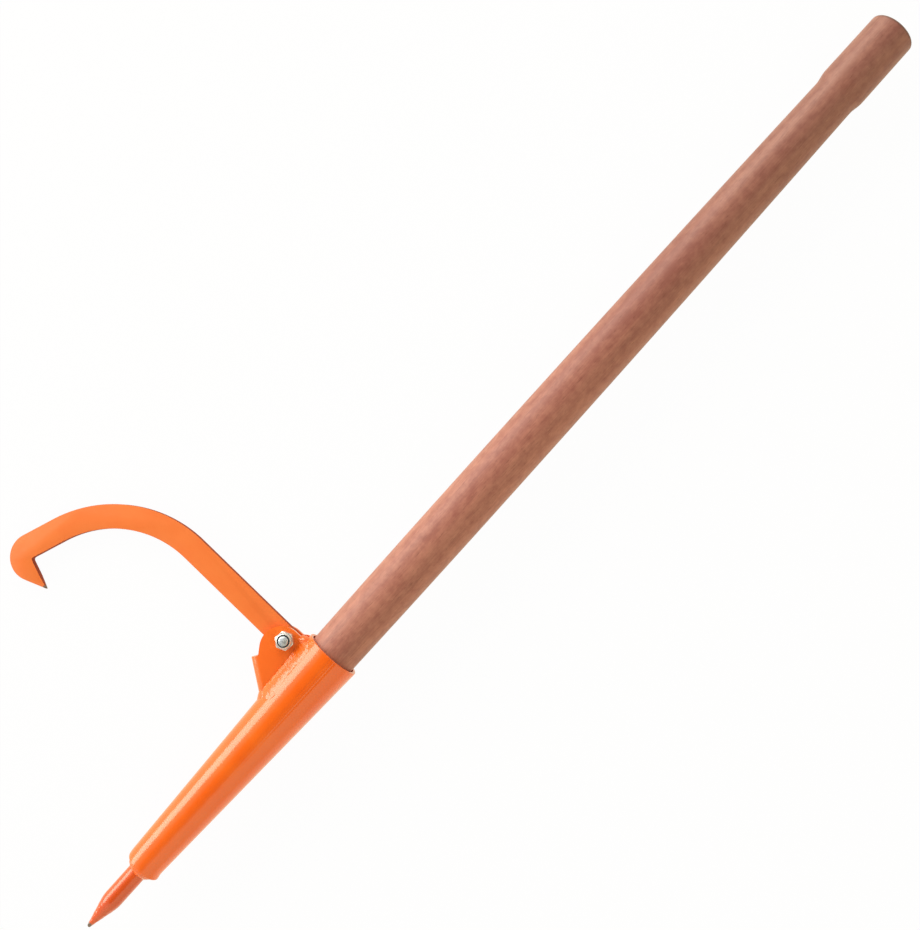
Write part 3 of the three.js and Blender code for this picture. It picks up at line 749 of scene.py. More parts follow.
def channel():
    """The U section, drawn out along the slope of the web."""
    centre = HALF_WIDTH - BEND
    far = WEB_STANDOFF + 30
    section = [(far, HALF_WIDTH)]
    section += arc(BEND, centre, BEND, 90, 180, 9)
    section += arc(BEND, -centre, BEND, 180, 270, 9)
    section += [(far, -HALF_WIDTH), (far, -EAR_GAP / 2)]
    section += arc(BEND, -centre, BEND - PLATE, 270, 180, 15)
    section += arc(BEND, centre, BEND - PLATE, 180, 90, 15)
    section.append((far, EAR_GAP / 2))
    bm = prism(section, 0, CHANNEL_LENGTH)
    start = web_top + web_up * CHANNEL_ABOVE
    axes = Matrix((web_in, Vector((0, 0, 1)), -web_up)).transposed().to_4x4()
    bm.transform(Matrix.Translation(start) @ axes)
    return bm


def ear_outline():
    """The side view: sloping web, square step and round ear."""
    step = web_top + web_in * EAR_STEP
    offset = Vector((step.x - EAR_CENTRE[0], step.y - EAR_CENTRE[1]))
    angle = math.degrees(math.atan2(offset.y, offset.x))
    touch = angle - math.degrees(math.acos(EAR_RADIUS / offset.length))
    foot = web_top - web_up * PIVOT_Y
    points = [(web_top.x, web_top.y), (foot.x, foot.y), (EAR_END_X, foot.y)]
    points += arc(*EAR_CENTRE, EAR_RADIUS, 0, touch, 4)
    points.append((step.x, step.y))
    return points


def drill(x, y):
    """A round post along z that cuts the bolt's hole right through."""
    bm = lathe([(-THROUGH, 0), (-THROUGH, BOLT_HOLE), (THROUGH, BOLT_HOLE), (THROUGH, 0)], 64)
    bm.transform(Matrix.Translation((x, y, 0)) @ UPRIGHT)
    return bm


def bracket():
    """The bent plate, fitted to the cone and drilled."""
    cone = lathe([(-300, 0), (-300, socket_radius(-300) - SUNK),
                  (20, socket_radius(20) - SUNK), (20, 0)], 192)
    bm = combined(channel(), "INTERSECT", prism(ear_outline(), -THROUGH, THROUGH))
    bm = combined(bm, "DIFFERENCE", cone, drill(PIVOT_X, PIVOT_Y))
    return eased(bm, 1.5, 4)


finished("bent_hook_bracket", bracket(), plate_enamel, "haft", ["hook_bracket"])

# %% [markdown]
# ## The hook
#
# A flat bar, bent on edge and cut to a beak. Its outline is all straight runs and arcs:
# the eye, the shank, the bend, the head that turns about the inner corner, and the beak.
# The beak is ground on both faces towards its tip. Cutting wedges do here what a grinder
# does, and the bevel that follows is the soft edge of thick enamel.

# %% Cut and grind the hook
BAR_WIDTH = 24.9
BAR_THICKNESS = 8.0
SHANK = 132.0
BEND_INNER = 109.0
BEND_SWEEP = 71.0
HOOK_REACH = 34.8
THROAT_SETBACK = 3.3
BEAK_LENGTH = 35.1
BEAK_ANGLE = 245.3
HOOK_LEAN = -1.2
GRIND_FROM = 15.0
GRIND_ANGLE = 9.5


def polar(angle, length=1.0):
    """A vector from an angle in degrees and a length."""
    return Vector((math.cos(math.radians(angle)), math.sin(math.radians(angle)))) * length


bend_centre = Vector((-BAR_WIDTH / 2 - BEND_INNER, SHANK))
bend_end = bend_centre + polar(BEND_SWEEP, BEND_INNER)
head_centre = bend_end + polar(BEND_SWEEP + 90, HOOK_REACH)
throat = head_centre + polar(BEND_SWEEP + 90, THROAT_SETBACK)
beak_tip = head_centre + polar(BEAK_ANGLE, BEAK_LENGTH)
leaving = BEAK_ANGLE - math.degrees(math.acos(BAR_WIDTH / BEAK_LENGTH))


def rounded(before, corner, after, radius, steps=8):
    """A soft corner between two straight runs."""
    start = corner + (before - corner).normalized() * radius
    end = corner + (after - corner).normalized() * radius
    points = []
    for t in shares(steps):
        point = start * (1 - t) ** 2 + corner * 2 * t * (1 - t) + end * t ** 2
        points.append((point.x, point.y))
    return points


def hook_outline():
    """The hook seen from its flat side, pivot at the origin and shank along y."""
    half = BAR_WIDTH / 2
    outer = BEND_INNER + BAR_WIDTH
    points = arc(*bend_centre, outer, 0, BEND_SWEEP, 1.5)
    points += arc(*head_centre, BAR_WIDTH, BEND_SWEEP, leaving, 3)[1:]
    points += rounded(head_centre + polar(leaving, BAR_WIDTH), beak_tip, throat, 0.7, 3)
    points += rounded(beak_tip, throat, bend_end, 3.0)
    points += arc(*bend_centre, BEND_INNER, BEND_SWEEP, 0, 1.5)
    points += arc(0, 0, half, 180, 360, 4)
    return points


def grinding_block(point, along, drop, face):
    """A large block that shaves a face: its underside drops towards `along`."""
    block = prism([(-30, -40), (50, -40), (50, 40), (-30, 40)], 0, 40)
    forward = Vector((along.x, along.y, -math.tan(math.radians(drop)))).normalized()
    side = Vector((-along.y, along.x, 0)).normalized()
    up = forward.cross(side)
    axes = Matrix((forward, side, up)).transposed().to_4x4()
    block.transform(Matrix.Translation((point.x, point.y, BAR_THICKNESS / 2)) @ axes)
    if face < 0:
        bmesh.ops.scale(block, verts=block.verts, vec=(1, 1, -1))
        bmesh.ops.reverse_faces(block, faces=block.faces)
    return block


def hook_mesh():
    """The bar, drilled, ground at the beak, with eased edges."""
    bm = prism(hook_outline(), -BAR_THICKNESS / 2, BAR_THICKNESS / 2)
    to_tip = polar(BEAK_ANGLE)
    cuts = [drill(0, 0)]
    for face in (1, -1):
        start = beak_tip - to_tip * GRIND_FROM
        cuts.append(grinding_block(start, to_tip, GRIND_ANGLE, face))
    bm = combined(bm, "DIFFERENCE", *cuts)
    bm = eased(bm, 0.9, 3, 30)
    bm.normal_update()
    mark_cut_edges(bm)
    bm.transform(Matrix.Translation(pivot) @ Matrix.Rotation(math.radians(HOOK_LEAN), 4, "Z"))
    return bm


tip_turned = pivot + (Matrix.Rotation(math.radians(HOOK_LEAN), 3, "Z") @ beak_tip.to_3d())
# The hook's orange is painted paler still, a painted sheen on its flat faces.
hook_enamel = sprayed_enamel("enamel_worn_at_beak_tip", ("#F97E38", "#FB8740"), 0.45,
                             bare_point=tip_turned, bare_radius=4.5)
finished("ground_hook", hook_mesh(), hook_enamel, "hook", ["hook"])

# %% [markdown]
# ## The bolt, its nut and its plastic ring
#
# A hexagon is a six-sided prism whose corners were turned off on a lathe, so the shape
# is a prism intersected with a turned blank. The nut has a round crown that grips a
# nylon ring, and the bolt's end stands a little proud, so its thread shows: a cylinder
# whose radius follows the angle and the height is a helix.

# %% Bolt, nut and ring
BOLT_RADIUS = 5.0
ACROSS_FLATS = 17.0
SEAT = HALF_WIDTH + 0.1
HEAD_HEIGHT = 6.4
NUT_HEX = 7.2
NUT_HEIGHT = 10.0
CROWN_RADIUS = 7.6
RING_RADIUS = 6.7
NUT_TURN = 52.0
THREAD_PITCH = 1.5
THREAD_DEPTH = 0.75
THREAD_IN_NUT = 4.0
BOLT_PAST_NUT = 2.8
THREAD_FROM = SEAT + NUT_HEIGHT - THREAD_IN_NUT
BOLT_END = SEAT + NUT_HEIGHT + BOLT_PAST_NUT
BOLT_DOME = 0.84
CROWN_ROUNDING = 1.2
RING_FLOOR = 3.0
CROWN_LIP = 0.7
RING_SUNK = 0.9
RING_HEIGHT = 2.0
RING_GRIP = 0.02
RING_ROOM = 0.05
RING_CHAMFER = 0.3
BORE_ROOM = 0.05
BLANK_SLACK = 0.1
CROWN_ROOT = 4.0
CROWN_FOOT = 0.6
LIP_OVERHANG = 0.4
HOLLOW_OVERRUN = 5.0
EDGE_EASE = 0.22
HEX_EDGE = 25
THREAD_FADE = 0.8
THREAD_STOP = 0.9
THREAD_INSET = 0.03
DOME_INSET = 0.4
DOME_TILT = 60
HEAD_OVERLAP = 3.0
HEAD_TURN = 5.0


def hexagon(z0, z1, turn):
    """A hexagon with its corners turned off at both ends."""
    corner = ACROSS_FLATS / math.sqrt(3)
    outline = [tuple(polar(60 * i + turn, corner)) for i in range(6)]
    drop = (corner - ACROSS_FLATS / 2) * math.tan(math.radians(30))
    wide = corner + BLANK_SLACK
    blank = upright([(z0, 0), (z0, ACROSS_FLATS / 2), (z0 + drop, wide),
                     (z1 - drop, wide), (z1, ACROSS_FLATS / 2), (z1, 0)])
    return combined(prism(outline, z0, z1), "INTERSECT", blank)


def nut_mesh():
    """Hexagon, crown and bore."""
    top = SEAT + NUT_HEIGHT
    seat = top - RING_FLOOR
    lip = top - CROWN_LIP
    bore = BOLT_RADIUS + BORE_ROOM
    low = SEAT + CROWN_ROOT
    edge = arc(top - CROWN_ROUNDING, CROWN_RADIUS - CROWN_ROUNDING, CROWN_ROUNDING, 90, 0, 15)
    crown = upright([(low, 0), (low, CROWN_RADIUS + CROWN_FOOT), *edge, (top, 0)])
    hollow = upright([(0, 0), (0, bore), (seat, bore), (seat, RING_RADIUS),
                      (lip, RING_RADIUS), (lip, RING_RADIUS - LIP_OVERHANG),
                      (top + HOLLOW_OVERRUN, RING_RADIUS - LIP_OVERHANG / 2),
                      (top + HOLLOW_OVERRUN, 0)])
    bm = combined(hexagon(SEAT, SEAT + NUT_HEX, NUT_TURN), "UNION", crown)
    bm = combined(bm, "DIFFERENCE", hollow)
    bm = eased(bm, EDGE_EASE, 2, HEX_EDGE)
    bm.transform(Matrix.Translation(pivot))
    return bm


def thread_change(z, angle):
    """A thread that fades in past the nut and out at the bolt's end."""
    fade = min(1.0, max(0.0, z - THREAD_FROM), max(0.0, (BOLT_END - z) / THREAD_FADE))
    turn = (z / THREAD_PITCH + angle / (2 * math.pi)) % 1
    return -THREAD_DEPTH * fade * (1 - abs(2 * turn - 1))


def bolt_mesh():
    """Hexagon head, shank and threaded end."""
    root = -SEAT - HEAD_OVERLAP
    shank = [(root, 0), (root, BOLT_RADIUS), (THREAD_FROM, BOLT_RADIUS)]
    for t in shares(45, 1):
        z = THREAD_FROM + (BOLT_END - THREAD_STOP - THREAD_FROM) * t
        shank.append((z, BOLT_RADIUS - THREAD_INSET))
    rim = math.radians(DOME_TILT)
    for tilt in (rim, rim * 0.75, rim * 0.5, rim * 0.25):
        drop = BOLT_DOME * (1 - math.cos(tilt)) / (1 - math.cos(rim))
        reach = (BOLT_RADIUS - DOME_INSET) * math.sin(tilt) / math.sin(rim)
        shank.append((BOLT_END - drop, reach))
    shank.append((BOLT_END, 0))
    rod = upright(shank, 72, thread_change)
    head = hexagon(-SEAT - HEAD_HEIGHT, -SEAT, HEAD_TURN)
    head = eased(head, EDGE_EASE, 2, HEX_EDGE)
    bm = combined(head, "UNION", rod)
    bm.transform(Matrix.Translation(pivot))
    return bm


def ring_mesh():
    """The nylon ring in the crown, gripping the thread."""
    top = SEAT + NUT_HEIGHT - RING_SUNK
    low = top - RING_HEIGHT
    inner = BOLT_RADIUS + RING_GRIP
    outer = RING_RADIUS - RING_ROOM
    bm = lathe([(low, inner), (low, outer), (top, outer), (top, inner + RING_CHAMFER),
                (top - RING_CHAMFER, inner), (low, inner)], 72)
    bm.transform(Matrix.Translation(pivot) @ UPRIGHT)
    return bm


finished("self_locking_nut", nut_mesh(), zinc, "haft", ["lock_nut"], HEX_EDGE)
finished("hexagon_bolt", bolt_mesh(), tumbled_zinc, "haft", ["pivot_bolt"], 30)
finished("nylon_ring", ring_mesh(), nylon, "haft", ["nut_insert"], 30)

# %% [markdown]
# ## The handle screw
#
# On the underside one screw keeps the handle from working loose. Its pan head has a
# cross recess, cut here with two tapered bars.

# %% Screw under the socket
SCREW_X = -62.0
SCREW_ANGLE = -50.0
SCREW_LENGTH = 26.0
SCREW_RADIUS = 2.5
PAN_RADIUS = 5.4
PAN_RIM = 1.2
PAN_DOME = 1.8
RECESS_HALF = 0.55
RECESS_TOP = 2.6
RECESS_FLOOR = 1.0
RECESS_DEPTH = 2.2
RECESS_OVERRUN = 1.0
RECESS_TURN = 20
SEAT_SUNK = 0.2


def screw_mesh():
    """Pan head with a cross recess, and a shank."""
    seat = socket_radius(SCREW_X) - SEAT_SUNK
    rim = seat + PAN_RIM
    top = rim + PAN_DOME
    tip = seat - SCREW_LENGTH
    outline = [(tip, 0), (tip + SCREW_RADIUS, SCREW_RADIUS), (seat, SCREW_RADIUS),
               (seat, PAN_RADIUS)]
    for t in shares(8)[:-1]:
        turn = math.radians(90 * t)
        outline.append((rim + PAN_DOME * math.sin(turn), PAN_RADIUS * math.cos(turn)))
    outline.append((top, 0))
    high = top + RECESS_OVERRUN
    deep = top - RECESS_DEPTH
    flat = [(-RECESS_TOP, high), (-RECESS_FLOOR, deep), (RECESS_FLOOR, deep),
            (RECESS_TOP, high)]
    bars = []
    for turn in (RECESS_TURN, RECESS_TURN + 90):
        bar = prism(flat, -RECESS_HALF, RECESS_HALF)
        bar.transform(Matrix.Rotation(math.radians(turn), 4, "Z")
                      @ Matrix.Rotation(math.radians(90), 4, "X"))
        bars.append(bar)
    bm = combined(upright(outline, 64), "DIFFERENCE", *bars)
    lie = Matrix.Rotation(math.radians(SCREW_ANGLE - 90), 4, "X")
    bm.transform(Matrix.Translation((SCREW_X, 0, 0)) @ lie)
    return bm


finished("cross_head_screw", screw_mesh(), zinc, "haft", ["handle_screw"])

# %% [markdown]
# ## The weld beads
#
# A weld bead is a row of frozen drops: each one lies a little further along and laps the
# one before, so its surface carries crescents. That is a rule that follows a path, which
# is what Geometry Nodes are for. The tree sweeps a circle along the path, flattens it
# towards the way the bead faces, and lifts the crown by a saw wave that lags behind at
# the sides. A noise makes the bead uneven, and the ends fade out.

# %% The bead tree's inputs and its tube
SIZE_NAMES = ("Width", "Height", "Root", "Pitch", "Ripple", "Lag", "Unevenness", "Fade",
              "Seed")
TUBE_STEP = 0.35
TUBE_SIDES = 28


def bead_inputs(tree):
    """The tree's named inputs; the sizes are in millimetres."""
    interface = tree.interface
    interface.new_socket("Geometry", in_out="INPUT", socket_type="NodeSocketGeometry")
    interface.new_socket("Geometry", in_out="OUTPUT", socket_type="NodeSocketGeometry")
    for name in SIZE_NAMES:
        interface.new_socket(name, in_out="INPUT", socket_type="NodeSocketFloat")
    interface.new_socket("Closed", in_out="INPUT", socket_type="NodeSocketBool")
    interface.new_socket("Paint", in_out="INPUT", socket_type="NodeSocketMaterial")


def swept_tube(tree, sizes):
    """A tube along the path that remembers its centre line and the run along it."""
    path = add(tree, "GeometryNodeMeshToCurve", {0: sizes["Geometry"]})
    fine = add(tree, "GeometryNodeResampleCurve", {
        "Curve": path, "Length": TUBE_STEP,
    }, mode="LENGTH")
    capture = add(tree, "GeometryNodeCaptureAttribute", {0: fine})
    for kind, name in (("VECTOR", "Centre"), ("FLOAT", "Run"), ("FLOAT", "Left")):
        capture.capture_items.new(kind, name)
    run = add(tree, "GeometryNodeSplineParameter").outputs["Length"]
    total = add(tree, "GeometryNodeSplineLength").outputs["Length"]
    centre = add(tree, "GeometryNodeInputPosition")
    left = add(tree, MATH, (total, run), operation="SUBTRACT")
    feed(tree, capture, {"Centre": centre, "Run": run, "Left": left})
    circle = add(tree, "GeometryNodeCurvePrimitiveCircle", {
        "Resolution": TUBE_SIDES, "Radius": sizes["Width"],
    })
    tube = add(tree, "GeometryNodeCurveToMesh", {
        "Curve": capture, "Profile Curve": circle, "Fill Caps": True,
    })
    return tube, capture.outputs


# %% [markdown]
# Each point of the tube knows its centre. What lies along the facing is its rise, and
# the rest is flat. The rise is replaced by the bead's own height: a low dome with
# ripples and lumps in front, and a root behind that sinks into the steel.

# %% The bead tree's surface
ATTRIBUTE = "GeometryNodeInputNamedAttribute"
SLOW_SCALE = 0.16
LUMP_SCALE = 0.26
END_BLUNTNESS = 0.45


def bead_ending(tree, sizes, carried):
    """One along the bead, falling to nothing at its two ends."""
    nearest = add(tree, MATH, (carried["Run"], carried["Left"]), operation="MINIMUM")
    share = add(tree, MATH, (nearest, sizes["Fade"]), operation="DIVIDE", use_clamp=True)
    blunt = add(tree, MATH, (share, END_BLUNTNESS), operation="POWER")
    return add(tree, "GeometryNodeSwitch", {
        "Switch": sizes["Closed"], "False": blunt, "True": 1.0,
    }, input_type="FLOAT")


def bead_ripple(tree, sizes, run, reach, slow):
    """A saw wave along the bead that lags behind at its sides."""
    spread = add(tree, MATH, (reach, reach), operation="MULTIPLY")
    lag = add(tree, MATH, (spread, sizes["Lag"]), operation="MULTIPLY")
    late = add(tree, MATH, (run, lag), operation="SUBTRACT")
    phase = add(tree, MATH, (late, sizes["Pitch"]), operation="DIVIDE")
    shaken = add(tree, MATH, (phase, slow), operation="ADD")
    saw = add(tree, MATH, (shaken,), operation="FRACT")
    square = add(tree, MATH, (saw, saw), operation="MULTIPLY")
    return add(tree, MATH, (square, sizes["Ripple"]), operation="MULTIPLY")


def bead_height(tree, sizes, crown, ripple):
    """How far a point stands from the centre line, along the facing."""
    where = add(tree, "GeometryNodeInputPosition")
    lumps = add(tree, NOISE, {
        "Vector": where, "W": sizes["Seed"], "Scale": LUMP_SCALE, "Detail": 2.0,
    }, noise_dimensions="4D")
    lump = add(tree, MATH, (lumps, 0.5), operation="SUBTRACT")
    uneven = add(tree, MATH, (lump, sizes["Unevenness"]), operation="MULTIPLY")
    shown = add(tree, MATH, (crown, 0.0), operation="MAXIMUM")
    surface = add(tree, MATH, (ripple, uneven), operation="ADD")
    relief = add(tree, MATH, (surface, shown), operation="MULTIPLY")
    sunk = add(tree, MATH, (crown, 0.0), operation="MINIMUM")
    root = add(tree, MATH, (sunk, sizes["Root"]), operation="MULTIPLY")
    dome = add(tree, MATH, (shown, shown), operation="MULTIPLY")
    raised = add(tree, MATH, (dome, sizes["Height"], root), operation="MULTIPLY_ADD")
    return add(tree, MATH, (raised, relief), operation="ADD")


def bead_places(tree, sizes, carried):
    """Where the tube's points go."""
    centre = carried["Centre"]
    facing = add(tree, ATTRIBUTE, {"Name": "facing"}, data_type="FLOAT_VECTOR")
    out = add(tree, VECTOR_MATH, (facing,), operation="NORMALIZE")
    where = add(tree, "GeometryNodeInputPosition")
    offset = add(tree, VECTOR_MATH, (where, centre), operation="SUBTRACT")
    rise = add(tree, VECTOR_MATH, (offset, out), operation="DOT_PRODUCT").outputs["Value"]
    up = add(tree, VECTOR_MATH, {0: out, "Scale": rise}, operation="SCALE")
    flat = add(tree, VECTOR_MATH, (offset, up), operation="SUBTRACT")
    aside = add(tree, VECTOR_MATH, (flat,), operation="LENGTH").outputs["Value"]
    reach = add(tree, MATH, (aside, sizes["Width"]), operation="DIVIDE")
    crown = add(tree, MATH, (rise, sizes["Width"]), operation="DIVIDE")
    slow = add(tree, NOISE, {
        "Vector": centre, "W": sizes["Seed"], "Scale": SLOW_SCALE, "Detail": 2.0,
    }, noise_dimensions="4D")
    ripple = bead_ripple(tree, sizes, carried["Run"], reach, slow)
    height = bead_height(tree, sizes, crown, ripple)
    swell = add(tree, RANGE, (slow, 0.3, 0.7, 0.88, 1.1))
    girth = add(tree, ATTRIBUTE, {"Name": "girth"}, data_type="FLOAT")
    thick = add(tree, MATH, (girth, swell), operation="MULTIPLY")
    size = add(tree, MATH, (bead_ending(tree, sizes, carried), thick), operation="MULTIPLY")
    grown = add(tree, MATH, (height, size), operation="MULTIPLY")
    upward = add(tree, VECTOR_MATH, {0: out, "Scale": grown}, operation="SCALE")
    sideways = add(tree, VECTOR_MATH, {0: flat, "Scale": size}, operation="SCALE")
    shift = add(tree, VECTOR_MATH, (upward, sideways), operation="ADD")
    return add(tree, VECTOR_MATH, (centre, shift), operation="ADD")


def bead_tree():
    """The whole tree: tube, new places, real mesh and paint."""
    tree = bpy.data.node_groups.new("weld_bead", "GeometryNodeTree")
    bead_inputs(tree)
    sizes = add(tree, "NodeGroupInput").outputs
    tube, carried = swept_tube(tree, sizes)
    moved = add(tree, "GeometryNodeSetPosition", {
        "Geometry": tube, "Position": bead_places(tree, sizes, carried),
    })
    real = add(tree, "GeometryNodeRealizeInstances", {0: moved})
    painted = add(tree, "GeometryNodeSetMaterial", {
        "Geometry": real, "Material": sizes["Paint"],
    })
    add(tree, "NodeGroupOutput", {0: painted})
    return tree


weld_tree = bead_tree()
print("nodes in the bead tree:", len(weld_tree.nodes))

# %% [markdown]
# ## Laying the beads
#
# Each bead is given as rows: a point, the way the bead faces there, and how thick it is.
# A modifier with the tree turns them into a bead; its inputs are set by their identifiers,
# and the result is kept as a plain mesh. The first two fill the long corners between the
# ears and the cone, and are thickest beside the bolt.

# %% Lay the beads along the ears' feet
SIDES = ((1, "front"), (-1, "back"))
FOOT_START = 5.0
FOOT_OVERRUN = 1.0
FOOT_DROP = 3.3
FOOT_OUT = 6.3
SWELL = 0.3
SWELL_AT = -19.0
SWELL_LENGTH = 8.0

climb = web_up.y - TAPER * web_up.x
web_foot_x = (web_top + web_up * ((socket_radius(web_top.x) - web_top.y) / climb)).x


def bead_path(rows, closed):
    """An object with the rows' points as a line of edges."""
    points, facings, girths = zip(*rows)
    edges = [(i, i + 1) for i in range(len(rows) - 1)]
    if closed:
        edges.append((len(rows) - 1, 0))
    mesh = bpy.data.meshes.new("bead_path")
    mesh.from_pydata(points, edges, [])
    facing = mesh.attributes.new("facing", "FLOAT_VECTOR", "POINT")
    for place, way in zip(facing.data, facings):
        place.vector = way
    girth = mesh.attributes.new("girth", "FLOAT", "POINT")
    girth.data.foreach_set("value", girths)
    obj = bpy.data.objects.new("bead_path", mesh)
    scene.collection.objects.link(obj)
    return obj


def lay(name, node, rows, sizes, closed=False):
    """Sweeps a bead along the rows and finishes it; every bead rides on the haft."""
    obj = bead_path(rows, closed)
    modifier = obj.modifiers.new("bead", "NODES")
    modifier.node_group = weld_tree
    inputs = {item.name: item.identifier for item in weld_tree.interface.items_tree
              if item.in_out == "INPUT"}
    for key, value in sizes.items():
        modifier[inputs[key]] = float(value)
    modifier[inputs["Closed"]] = closed
    modifier[inputs["Paint"]] = enamel
    bm = evaluated(obj)
    bmesh.ops.remove_doubles(bm, verts=bm.verts, dist=0.001)
    finished(name, bm, enamel, "haft", [node], 70)


def foot_rows(side):
    """The corner between an ear and the cone; side is 1 in front and -1 behind."""
    start = web_foot_x + FOOT_START
    end = EAR_END_X + FOOT_OVERRUN
    rows = []
    for t in shares(60):
        x = start + (end - start) * t
        y = math.sqrt(socket_radius(x) ** 2 - HALF_WIDTH ** 2) - FOOT_DROP
        girth = 1.0 + SWELL * math.exp(-((x - SWELL_AT) / SWELL_LENGTH) ** 2)
        rows.append(((x, y, side * (HALF_WIDTH + FOOT_OUT)), (0, 0.67, side * 0.74), girth))
    return rows


for side, name in SIDES:
    lay("foot_bead_" + name, "bracket_weld_" + name, foot_rows(side), {
        "Width": 9.4, "Height": 1.0, "Root": 2.5, "Pitch": 4.2, "Ripple": 0.3,
        "Lag": 2.2, "Unevenness": 1.0, "Fade": 4, "Seed": 3 + side,
    })

# %% [markdown]
# The other beads are laid the same way: the hollow fillet in front of the web and the
# thick lumps that close the ends of the ears.

# %% Lay the beads at the bracket's ends
TOE_SWEEP = math.radians(85)
HEEL_BACK = 7.0
HEEL_REACH = 9.0
HEEL_INNER = 4.5
HEEL_SPREAD = HALF_WIDTH - 2.3
HEEL_LIFT = 4.6


def toe_rows():
    """The corner round the outside of the web; at the ears the bead faces outward."""
    rows = []
    for t in shares(40):
        turn = TOE_SWEEP * (2 * t - 1)
        aside = math.sin(turn) ** 2
        recess = BEND * (1 - math.cos(turn))
        z = HALF_WIDTH * math.sin(turn)
        foot_y = socket_radius(web_foot_x)
        y = math.sqrt(foot_y ** 2 - z ** 2)
        x = web_foot_x + recess / web_up.y + (y - foot_y) * web_up.x / web_up.y
        level = 0.46 + 0.34 * aside
        out = Vector((-math.cos(turn) * level, 0.89 - 0.29 * aside, math.sin(turn) * level))
        rows.append((Vector((x, y, z)) + out * (2.0 + 0.3 * aside), out, 1.0))
    return rows


def heel_rows(side):
    """The corner round the end of an ear; the bead stands highest at the end itself."""
    rows = []
    for t in shares(30):
        turn = math.radians(90 * t)
        aside = math.sin(turn) ** 2
        x = EAR_END_X - HEEL_BACK + HEEL_REACH * math.cos(turn)
        z = side * (HEEL_INNER + HEEL_SPREAD * math.sin(turn))
        y = math.sqrt(socket_radius(x) ** 2 - z ** 2)
        out = (0.84 * math.cos(turn), 0.56, side * 0.84 * math.sin(turn))
        rows.append(((x, y + HEEL_LIFT - 3.6 * aside, z), out, 1.0 - 0.3 * aside))
    return rows


for side, name in SIDES:
    lay("heel_bead_" + name, "bracket_weld_heel_" + name, heel_rows(side), {
        "Width": 6.6, "Height": 1.2, "Root": 3.5, "Pitch": 4.2, "Ripple": 0.3,
        "Lag": 1.8, "Unevenness": 1.6, "Fade": 5, "Seed": 21 + side,
    })
lay("toe_bead", "bracket_weld_toe", toe_rows(), {
    "Width": 5.8, "Height": 0.3, "Root": 3.0, "Pitch": 4.2, "Ripple": 0.15,
    "Lag": 1.4, "Unevenness": 0.5, "Fade": 3, "Seed": 11,
})

# %% [markdown]
# Two beads belong to the socket itself: the ring that fills the corner round the spike,
# which closes on itself and so has no ends, and the long seam on the underside.

# %% Lay the ring bead and the seam
RING_REACH = SPIKE_RADIUS + 2.8
RING_OUT = 2.6
RING_LEAN = 0.8
RING_SWELL = 0.14
RING_DROPS = 16
RING_HEAVY_SIDE = math.radians(140)
SEAM_ANGLE = math.radians(-125)
SEAM_START = 3.0 - SOCKET_LENGTH
SEAM_END = -1.5
SEAM_SUNK = 0.3


def ring_rows():
    """The corner between spike and socket; the bead is heaviest away from the hook."""
    rows = []
    for t in shares(96)[:-1]:
        angle = 2 * math.pi * t
        y, z = math.cos(angle), math.sin(angle)
        heavy = math.cos(angle - RING_HEAVY_SIDE)
        x = -SOCKET_LENGTH - RING_OUT - RING_LEAN * heavy
        facing = (-0.71, 0.71 * y, 0.71 * z)
        rows.append(((x, RING_REACH * y, RING_REACH * z), facing, 1.0 + RING_SWELL * heavy))
    return rows


def seam_rows():
    """The line along the cone where its sheet closes."""
    out = Vector((0, math.cos(SEAM_ANGLE), math.sin(SEAM_ANGLE)))
    rows = []
    for t in shares(60):
        x = SEAM_START + (SEAM_END - SEAM_START) * t
        point = out * (socket_radius(x) - SEAM_SUNK)
        rows.append(((x, point.y, point.z), out, 1.0))
    return rows


lay("spike_ring_bead", "spike_weld", ring_rows(), {
    "Width": 4.9, "Height": 1.0, "Root": 2.5, "Ripple": 0.3, "Lag": 1.3,
    "Pitch": 2 * math.pi * RING_REACH / RING_DROPS, "Unevenness": 0.7, "Fade": 1,
    "Seed": 31,
}, closed=True)
lay("socket_seam_bead", "socket_seam_weld", seam_rows(), {
    "Width": 2.8, "Height": 1.2, "Root": 1.0, "Pitch": 1.9, "Ripple": 0.22,
    "Lag": 0.9, "Unevenness": 0.5, "Fade": 3, "Seed": 41,
})

# %% [markdown]
# ## The collar inside the socket
#
# A steel ring fills the space between the spike and the cone. The ring bead covers its
# end, so the mechanical model's own piece stays and only gets its steel.

# %% Collar
collar = frame["nodes"]["spike_collar"]
collar.data.materials.clear()
collar.data.materials.append(drawn_steel)
print("collar keeps", len(collar.data.polygons), "faces")

# %% [markdown]
# ## Floor
#
# The photograph has a pure white ground. To the camera the floor is mostly a plain white
# glow, so that it stays white at any angle, and in reflections it is a cream one, like
# the paper it stands for. A small share of it is a lit surface, and that share keeps the
# tool's soft shadow.

# %% White floor
PAPER_CREAM = "#FFEFD2"
PAPER_WHITE = "#FFFFFF"
FLOOR_SIZE = 12.0
FLOOR_DROP = 0.0002
GLOW_SHARE = 0.97


def white_floor():
    """A floor that glows white to the eye but still takes a shadow."""
    material = bpy.data.materials.new("white_paper_floor")
    material.use_nodes = True
    tree = material.node_tree
    tree.nodes.clear()
    rays = add(tree, "ShaderNodeLightPath").outputs
    eye = add(tree, MATH, (rays["Is Camera Ray"], rays["Is Glossy Ray"]), operation="MAXIMUM")
    seen = add(tree, MATH, (eye, rays["Is Transmission Ray"]), operation="MAXIMUM")
    tone = add(tree, MIX, {
        0: rays["Is Camera Ray"], 6: linear(PAPER_CREAM), 7: linear(PAPER_WHITE),
    }, data_type="RGBA").outputs[2]
    paper = add(tree, "ShaderNodeBsdfDiffuse", {"Color": linear("#F4F4F4")})
    glow = add(tree, "ShaderNodeEmission", {"Color": tone, "Strength": 1.0})
    share = add(tree, MATH, (seen, GLOW_SHARE), operation="MULTIPLY")
    mixed = add(tree, "ShaderNodeMixShader", {0: share, 1: paper, 2: glow})
    add(tree, "ShaderNodeOutputMaterial", {"Surface": mixed})
    return material


